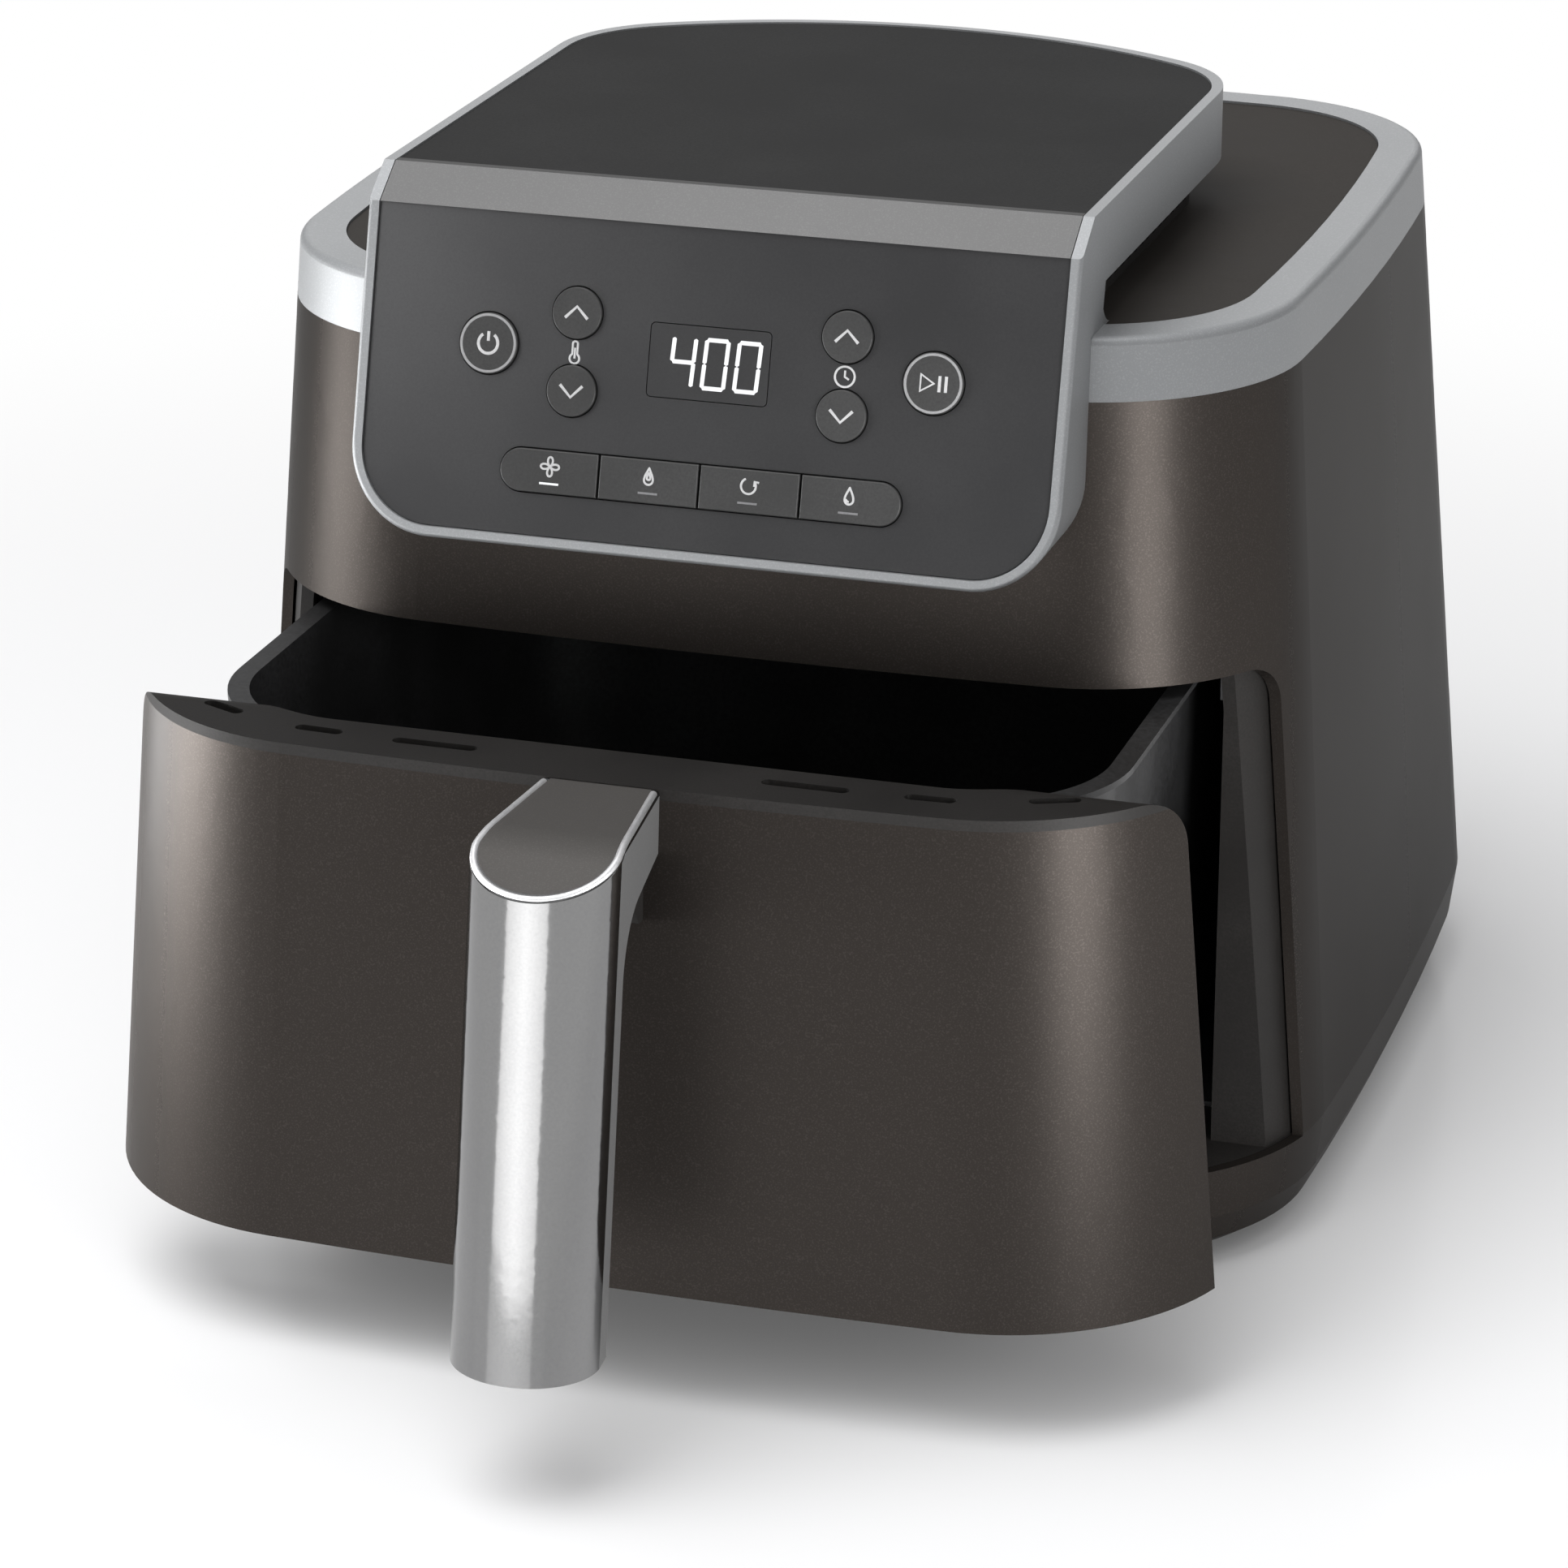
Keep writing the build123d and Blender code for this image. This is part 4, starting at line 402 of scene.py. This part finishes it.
def settle(piece, material, body):
    """Finishes a piece: its place goes into its mesh, and it gets its material and body."""
    only(piece)
    bpy.ops.object.transform_apply(location=True, rotation=True, scale=True)
    piece.data.materials.clear()
    piece.data.materials.append(material)
    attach(piece, body)
    return piece


def round_lines(name, strokes, radius, rounding):
    """Mesh of round strokes through points in millimetres, each stroke open or closed."""
    curve = bpy.data.curves.new(name, "CURVE")
    curve.dimensions = "3D"
    curve.bevel_depth = radius
    curve.bevel_resolution = rounding
    curve.use_fill_caps = True
    for points, closed in strokes:
        spline = curve.splines.new("POLY")
        spline.points.add(len(points) - 1)
        for point, place in zip(spline.points, points):
            point.co = (*place, 1)
        spline.use_cyclic_u = closed
    piece = bpy.data.objects.new(name, curve)
    bpy.context.collection.objects.link(piece)
    only(piece)
    bpy.ops.object.convert(target="MESH")
    return bpy.context.view_layer.objects.active


def print_on(name, strokes, line, centre, carrier, body, material=None):
    """Raised print of flattened round strokes about a centre on the panel, on a CAD node's outer face."""
    flat = [([(across, up, 0) for across, up in points], closed) for points, closed in strokes]
    piece = round_lines(name, flat, line / 2, PRINT_ROUNDING)
    flatten = Matrix.Diagonal((MM, MM, PRINT_RISE * MM / (line / 2), 1))
    place = Matrix.Translation((centre[0] * MM, -centre[1] * MM, panel_height(carrier)))
    piece.matrix_world = PANEL_PLACE @ place @ flatten
    return settle(piece, material or PRINT, body)


def arc(radius, start, sweep, steps=32, centre=(0.0, 0.0)):
    """Points along an arc, in degrees from the right and turning to the left."""
    turns = [radians(start + sweep * i / steps) for i in range(steps + 1)]
    return [(centre[0] + radius * cos(t), centre[1] + radius * sin(t)) for t in turns]


def circle(radius, steps=40):
    return (arc(radius, 0, 360 - 360 / steps, steps - 1), True)


def chevron(up):
    """Open arrow that points up, or down where up is -1."""
    return [([(across, height * up) for across, height in CHEVRON], False)]


def drop(high, wide):
    """Closed drop with its point up."""
    turns = [2 * pi * i / DROP_STEPS for i in range(DROP_STEPS)]
    return ([(wide * sin(t) * sin(t / 2) ** DROP_POINT, high * cos(t)) for t in turns], True)


def fan_sign():
    """Four blades in one closed stroke."""
    turns = [2 * pi * i / FAN_STEPS for i in range(FAN_STEPS)]
    return [([(FAN_RADIUS * cos(2 * t) * cos(t), FAN_RADIUS * cos(2 * t) * sin(t)) for t in turns], True)]


def turn_arrow():
    """Most of a circle, with an arrow's head where it starts."""
    tip = arc(TURN_RADIUS, TURN_START, 0, 1)[0]
    head = [(tip[0] + across, tip[1] + up) for across, up in TURN_HEAD]
    return [(arc(TURN_RADIUS, TURN_START, TURN_SWEEP), False), (head, False)]


def flame_sign():
    return [drop(1.9, 1.5), drop(0.8, 0.6)]


def drop_sign():
    return [drop(1.9, 1.45), (arc(0.75, 190, 80, 10, (0.0, -0.6)), False)]


def lamp_bar():
    return [([(-LAMP_BAR, 0), (LAMP_BAR, 0)], False)]


def thermometer():
    stem = arc(STEM_RADIUS, 0, 180, 12, (0, STEM_UP))
    bulb = arc(BULB_RADIUS, 121.5, 297, 24, (0, -BULB_DOWN))
    return [(stem + bulb, True), ([(0, -BULB_DOWN), (0, 1.0)], False)]


def clock():
    return [circle(CLOCK_RADIUS), ([(0, 1.4), (0, 0), (1.0, -0.6)], False)]


def power_sign():
    return [(arc(POWER_RADIUS, 125, 290), False), ([(0, 0.5), (0, 2.7)], False)]


def play_sign():
    """Triangle and two bars: start and pause."""
    bars = [([(across, -PAUSE_HALF), (across, PAUSE_HALF)], False) for across in (1.5, 3.0)]
    return [([(-2.9, -1.9), (-2.9, 1.9), (0.2, 0)], True)] + bars


for body, across, strokes in (
    ("power_button", -RING_BUTTON_X, power_sign()), ("start_button", RING_BUTTON_X, play_sign()),
):
    centre = (across, RING_BUTTON_DOWN)
    print_on(body + "_ring", [circle(RING_RADIUS, RING_STEPS)], RING_LINE, centre, body, body, RING_PRINT)
    print_on(body + "_sign", strokes, SIGN_LINE, centre, body, body)

for body, across, down, up in (
    ("warmer_key", -ARROW_X, ARROW_UP_DOWN, 1), ("cooler_key", -ARROW_X, ARROW_DOWN_DOWN, -1),
    ("longer_key", ARROW_X, ARROW_UP_DOWN, 1), ("shorter_key", ARROW_X, ARROW_DOWN_DOWN, -1),
):
    print_on(body + "_arrow", chevron(up), SIGN_LINE, (across, down), body, body)

KEY_SIGNS = {
    "fry_key": fan_sign(), "roast_key": flame_sign(), "reheat_key": turn_arrow(), "dry_key": drop_sign(),
}
for place, (body, strokes) in enumerate(KEY_SIGNS.items()):
    across = (place - (len(KEY_SIGNS) - 1) / 2) * KEY_PITCH
    print_on(body + "_sign", strokes, SMALL_LINE, (across, KEY_DOWN - KEY_SIGN_UP), body, body)
    shown = FAINT_PRINT if place else LIT
    print_on(body + "_lamp", lamp_bar(), SMALL_LINE, (across, KEY_DOWN + KEY_LAMP_DOWN), body, body, shown)

print_on("heat_sign", thermometer(), SMALL_LINE, (-ARROW_X, SIGN_DOWN), "control_fascia", "housing")
print_on("time_sign", clock(), SMALL_LINE, (ARROW_X, SIGN_DOWN), "control_fascia", "housing")


def segment(name, long):
    """One bar of a digit with pointed ends, lying along X about its middle, in millimetres."""
    bpy.ops.object.select_all(action="DESELECT")
    bpy.ops.mesh.primitive_circle_add(vertices=6, radius=DIGIT_LINE / 2 / cos(pi / 6), fill_type="NGON")
    piece = bpy.context.view_layer.objects.active
    piece.name = name
    piece.rotation_euler = (0, 0, pi / 2)
    bpy.ops.object.transform_apply(rotation=True)
    for side in (-1, 1):
        for vertex in piece.data.vertices:
            vertex.select = vertex.co.x * side > 0
        for edge in piece.data.edges:
            edge.select = all(piece.data.vertices[i].select for i in edge.vertices)
        piece.data.polygons[0].select = False
        bpy.ops.object.mode_set(mode="EDIT")
        bpy.ops.transform.translate(value=(side * (long - DIGIT_LINE * DIGIT_GAP) / 2, 0, 0))
        bpy.ops.object.mode_set(mode="OBJECT")
    bpy.ops.object.mode_set(mode="EDIT")
    bpy.ops.mesh.select_all(action="SELECT")
    bpy.ops.mesh.extrude_region_move(TRANSFORM_OT_translate={"value": (0, 0, PRINT_RISE)})
    bpy.ops.mesh.select_all(action="SELECT")
    bpy.ops.mesh.normals_make_consistent(inside=False)
    bpy.ops.object.mode_set(mode="OBJECT")
    return piece


def display_digits(text):
    """The lit number on the display, as separate bars."""
    half, quarter = DIGIT_WIDE / 2, DIGIT_HIGH / 4
    places = {                              # across, up, and whether the bar stands upright
        "a": (0, 2 * quarter, 0), "g": (0, 0, 0), "d": (0, -2 * quarter, 0),
        "f": (-half, quarter, 1), "b": (half, quarter, 1),
        "e": (-half, -quarter, 1), "c": (half, -quarter, 1),
    }
    lean = Matrix.Identity(4)
    lean[0][1] = DIGIT_SLANT
    height = panel_height("display_lens")
    lens_face = PANEL_PLACE @ Matrix.Translation((0, 0, height)) @ Matrix.Diagonal((MM, MM, MM, 1))
    pieces = []
    for place, digit in enumerate(text):
        middle = DIGITS_X + (place - (len(text) - 1) / 2) * DIGIT_PITCH
        digit_place = Matrix.Translation((middle, -DISPLAY_DOWN, 0)) @ lean
        for letter in SEGMENTS_OF[digit]:
            across, up, upright = places[letter]
            bar = segment("digit_bar", DIGIT_HIGH / 2 if upright else DIGIT_WIDE)
            turn = Matrix.Rotation(pi / 2 * upright, 4, "Z")
            spot = digit_place @ Matrix.Translation((across, up, 0)) @ turn
            bar.data.transform(lens_face @ spot)
            pieces.append(bar)
    bpy.ops.object.select_all(action="DESELECT")
    for bar in pieces:
        bar.select_set(True)
    bpy.context.view_layer.objects.active = pieces[0]
    bpy.ops.object.join()
    digits = bpy.context.view_layer.objects.active
    digits.name = "display_digits"
    return settle(digits, LIT, "housing")


display_digits("400")

# Bright bead round the handle's top, in millimetres: Y is measured back from the grip's lower tip
BEAD_HALF = 15.9            # half the width at the handle's widest, and at its root
BEAD_ROOT_HALF = 12.6
BEAD_ROOT = 66.0
BEAD_NOSE = 20.6
BEAD_SHOULDER = 33.7        # where the sides run into the rounded front
BEAD_RADIUS = 0.85
BEAD_SINK = 0.4
BEAD_ROUNDING = 4
SIDE_STEPS = 12
NOSE_STEPS = 40
HANDLE_LEAN = 0.1697
HANDLE_HIGH = 147.7         # height at which the outline above is taken
HEIGHT_PASSES = 5           # steps that bring a point of the leaning outline onto the top
TOP_LINE = ((70.0, 145.4), (40.6, 144.38), (35.3, 144.2), (30.4, 142.17), (15.0, 135.8))


def handle_top_z(back):
    """Height of the handle's top line, which bends between its second and fourth points."""
    (y0, z0), (y1, z1), (_, z2), (y3, z3), (y4, z4) = TOP_LINE
    if back >= y1:
        return z1 + (z0 - z1) * (back - y1) / (y0 - y1)
    if back <= y3:
        return z4 + (z3 - z4) * (back - y4) / (y3 - y4)
    t = (y1 - back) / (y1 - y3)
    return (1 - t) ** 2 * z1 + 2 * t * (1 - t) * z2 + t * t * z3


def handle_rim():
    """Polished bead along both sides of the handle's top and round its nose."""
    sides = [(BEAD_ROOT_HALF + (BEAD_HALF - BEAD_ROOT_HALF) * i / SIDE_STEPS,
              BEAD_ROOT + (BEAD_SHOULDER - BEAD_ROOT) * i / SIDE_STEPS)
             for i in range(SIDE_STEPS)]
    deep = BEAD_SHOULDER - BEAD_NOSE
    turns = [pi * i / NOSE_STEPS for i in range(NOSE_STEPS + 1)]
    nose = [(BEAD_HALF * cos(t), BEAD_SHOULDER - deep * sin(t)) for t in turns]
    outline = sides + nose + [(-across, back) for across, back in reversed(sides)]
    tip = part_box("handle_shell")[0][1] / MM
    points = []
    for across, back in outline:
        height = HANDLE_HIGH
        for _ in range(HEIGHT_PASSES):
            height = handle_top_z(back - HANDLE_LEAN * (HANDLE_HIGH - height))
        points.append((across, tip + back - HANDLE_LEAN * (HANDLE_HIGH - height), height - BEAD_SINK))
    piece = round_lines("handle_rim", [(points, False)], BEAD_RADIUS, BEAD_ROUNDING)
    piece.scale = (MM, MM, MM)
    settle(piece, RIM_POLISH, "drawer")
    bpy.ops.object.shade_smooth()


handle_rim()

# Floor
FLOOR_SIZE = 40.0
FLOOR_COLOUR = shade(0.93, 0.93, 0.935)
FLOOR_ROUGHNESS = 0.2
FLOOR_NEAR = 0.3            # the floor goes over to the white backdrop between these distances
FLOOR_FAR = 0.8
FLOOR_VEIL = 0.08           # share of white that already lies over the floor under the object


def floor_finish():
    """Pale studio floor that keeps the shadow close to the object and is plain white further out."""
    material = bpy.data.materials.new("studio_floor")
    material.use_nodes = True
    tree = material.node_tree
    near = tree.nodes["Principled BSDF"]
    out = tree.nodes["Material Output"]
    socket(near, "Base Color", FLOOR_COLOUR)
    socket(near, "Roughness", FLOOR_ROUGHNESS)
    white = tree.nodes.new("ShaderNodeEmission")
    socket(white, "Color", grey(1))
    length = tree.nodes.new("ShaderNodeVectorMath")
    length.operation = "LENGTH"
    tree.links.new(object_vector(tree), length.inputs[0])
    far = range_node(tree, length.outputs["Value"], FLOOR_NEAR, FLOOR_FAR, FLOOR_VEIL)
    path = tree.nodes.new("ShaderNodeLightPath")
    seen = math_node(tree, "MAXIMUM", path.outputs["Is Camera Ray"], path.outputs["Is Glossy Ray"])
    seen = math_node(tree, "MAXIMUM", seen, path.outputs["Is Transmission Ray"])
    share = math_node(tree, "MULTIPLY", far, seen)
    mixed = tree.nodes.new("ShaderNodeMixShader")
    tree.links.new(share, mixed.inputs[0])
    tree.links.new(near.outputs[0], mixed.inputs[1])
    tree.links.new(white.outputs[0], mixed.inputs[2])
    tree.links.new(mixed.outputs[0], out.inputs["Surface"])
    return material


bpy.ops.object.select_all(action="DESELECT")
bpy.ops.mesh.primitive_plane_add(size=FLOOR_SIZE, location=(0, 0, 0))
floor = bpy.context.view_layer.objects.active
floor.name = "studio_floor"
floor.data.materials.append(floor_finish())

# Room: its brightness at the horizon, by degrees to the right of the front, and the light from above
ROOM_BANDS = (
    (-179, 0.35), (-120, 0.35), (-72, 0.3), (-66, 0.12), (-60, 0.66), (26, 0.66), (32, 0.12), (44, 0.2),
    (110, 0.2), (150, 0.35), (179, 0.35),
)
ROOM_ABOVE = (0.12, 0.55)   # heights between which the horizon goes over to the ceiling
ROOM_CEILING = shade(0.9, 0.9, 0.91)
ROOM_STRENGTH = 0.58


def studio_world():
    """Soft room: bright overhead, a white card in front and grey sides."""
    world = bpy.data.worlds.new("studio")
    bpy.context.scene.world = world
    world.use_nodes = True
    tree = world.node_tree
    room = tree.nodes["Background"]
    parts = tree.nodes.new("ShaderNodeSeparateXYZ")
    tree.links.new(tree.nodes.new("ShaderNodeTexCoord").outputs["Generated"], parts.inputs[0])
    ahead = math_node(tree, "MULTIPLY", parts.outputs["Y"], -1.0)
    turn = math_node(tree, "ARCTAN2", parts.outputs["X"], ahead)
    ramp = tree.nodes.new("ShaderNodeValToRGB")
    tree.links.new(math_node(tree, "MULTIPLY_ADD", turn, 1 / (2 * pi), 0.5), ramp.inputs["Fac"])
    bands = ramp.color_ramp
    for place, level in ROOM_BANDS:
        stop = bands.elements.new(0.5 + place / 360.0)
        stop.color = grey(level)
    bands.elements.remove(bands.elements[0])
    bands.elements.remove(bands.elements[len(bands.elements) - 1])
    overhead = range_node(tree, parts.outputs["Z"], *ROOM_ABOVE)
    colour = mix_node(tree, overhead, ramp.outputs["Color"], ROOM_CEILING)
    tree.links.new(colour, room.inputs["Color"])
    socket(room, "Strength", ROOM_STRENGTH)


studio_world()


def flag(lamp_name, *pieces, state="EXCLUDE"):
    """Keeps a lamp off some pieces, or on them alone, as studio flags do."""
    shaded = bpy.data.collections.new(lamp_name + "_flag")
    for piece in pieces:
        shaded.objects.link(piece)
    lamps[lamp_name].light_linking.receiver_collection = shaded
    for item in shaded.collection_objects:
        item.light_linking.link_state = state


def softbox(name, place, aim, wide, high, level, spread=pi):
    """Area lamp of an even brightness along its axis, turned towards a point and out of sight itself."""
    lamp = bpy.data.lights.new(name, "AREA")
    lamp.shape = "RECTANGLE"
    lamp.size = wide
    lamp.size_y = high
    lamp.spread = spread
    half = spread / 2
    lamp.energy = level * pi * wide * high * (1.0 if spread == pi else 1 - half / tan(half))
    holder = bpy.data.objects.new(name, lamp)
    holder.location = place
    holder.rotation_euler = (Vector(aim) - Vector(place)).to_track_quat("-Z", "Y").to_euler()
    holder.visible_camera = False
    bpy.context.collection.objects.link(holder)
    return holder


WIDE_GRID = radians(100)    # spread of the lamps that stand beside the object
NARROW_GRID = radians(64)
# Place, aim, width, height, brightness, and where it isn't open: spread
LAMPS = {
    "overhead_softbox": ((-0.45, -0.5, 2.0), (0.0, 0.0, 0.1), 1.5, 1.5, 3.6),
    "right_strip": ((0.335, -0.30, 0.15), (0.103, -0.10, 0.15), 0.13, 0.28, 15.0, WIDE_GRID),
    "left_softbox": ((-0.55, -0.26, 0.10), (-0.11, -0.17, 0.085), 0.45, 0.19, 22.0, NARROW_GRID),
    "handle_strip": ((-0.08, -0.52, 0.072), (0.0, -0.20, 0.09), 0.34, 0.14, 2.9, WIDE_GRID),
    "floor_fill": ((-0.25, -1.2, 1.6), (0.0, -0.3, 0.0), 2.0, 2.0, 1.3),
    "rear_strip": ((-0.4, 1.6, 0.85), (0.0, 0.06, 0.22), 1.6, 0.5, 2.2),
    "panel_strip": ((-0.15, -0.13, 0.27), (-0.06, -0.07, 0.22), 0.05, 0.10, 18.0, WIDE_GRID),
    "drawer_strip": ((-0.45, -0.14, 0.10), (-0.12, -0.16, 0.085), 0.40, 0.22, 18.0, WIDE_GRID),
}
lamps = {name: softbox(name, *row) for name, row in LAMPS.items()}
silver_trim = [nodes[name] for name in ("rim_band", "head_bezel", "front_strip")]
flag("right_strip", floor, nodes["handle_shell"], *silver_trim)
flag("left_softbox", floor, nodes["handle_shell"])
flag("handle_strip", nodes["drawer_front"])
flag("floor_fill", floor, state="INCLUDE")
flag("rear_strip", nodes["rim_band"], nodes["head_bezel"], state="INCLUDE")
flag("panel_strip", nodes["control_fascia"], state="INCLUDE")
flag("drawer_strip", nodes["drawer_front"], state="INCLUDE")

lens = bpy.data.cameras.new("photo_view")
lens.lens = CAMERA_LENS
lens.sensor_width = CAMERA_SENSOR
lens.clip_start = CAMERA_NEAR
lens.clip_end = CAMERA_FAR
camera = bpy.data.objects.new("photo_view", lens)
bpy.context.collection.objects.link(camera)
level = CAMERA_AWAY * cos(CAMERA_RISE)
camera.location = (
    CAMERA_AIM[0] + level * sin(CAMERA_TURN),
    HOUSING_Y + CAMERA_AIM[1] - level * cos(CAMERA_TURN),
    CAMERA_AIM[2] + CAMERA_AWAY * sin(CAMERA_RISE),
)
camera.rotation_euler = (pi / 2 - CAMERA_RISE, 0, CAMERA_TURN)
bpy.context.scene.camera = camera
bpy.context.scene.view_settings.view_transform = "Standard"
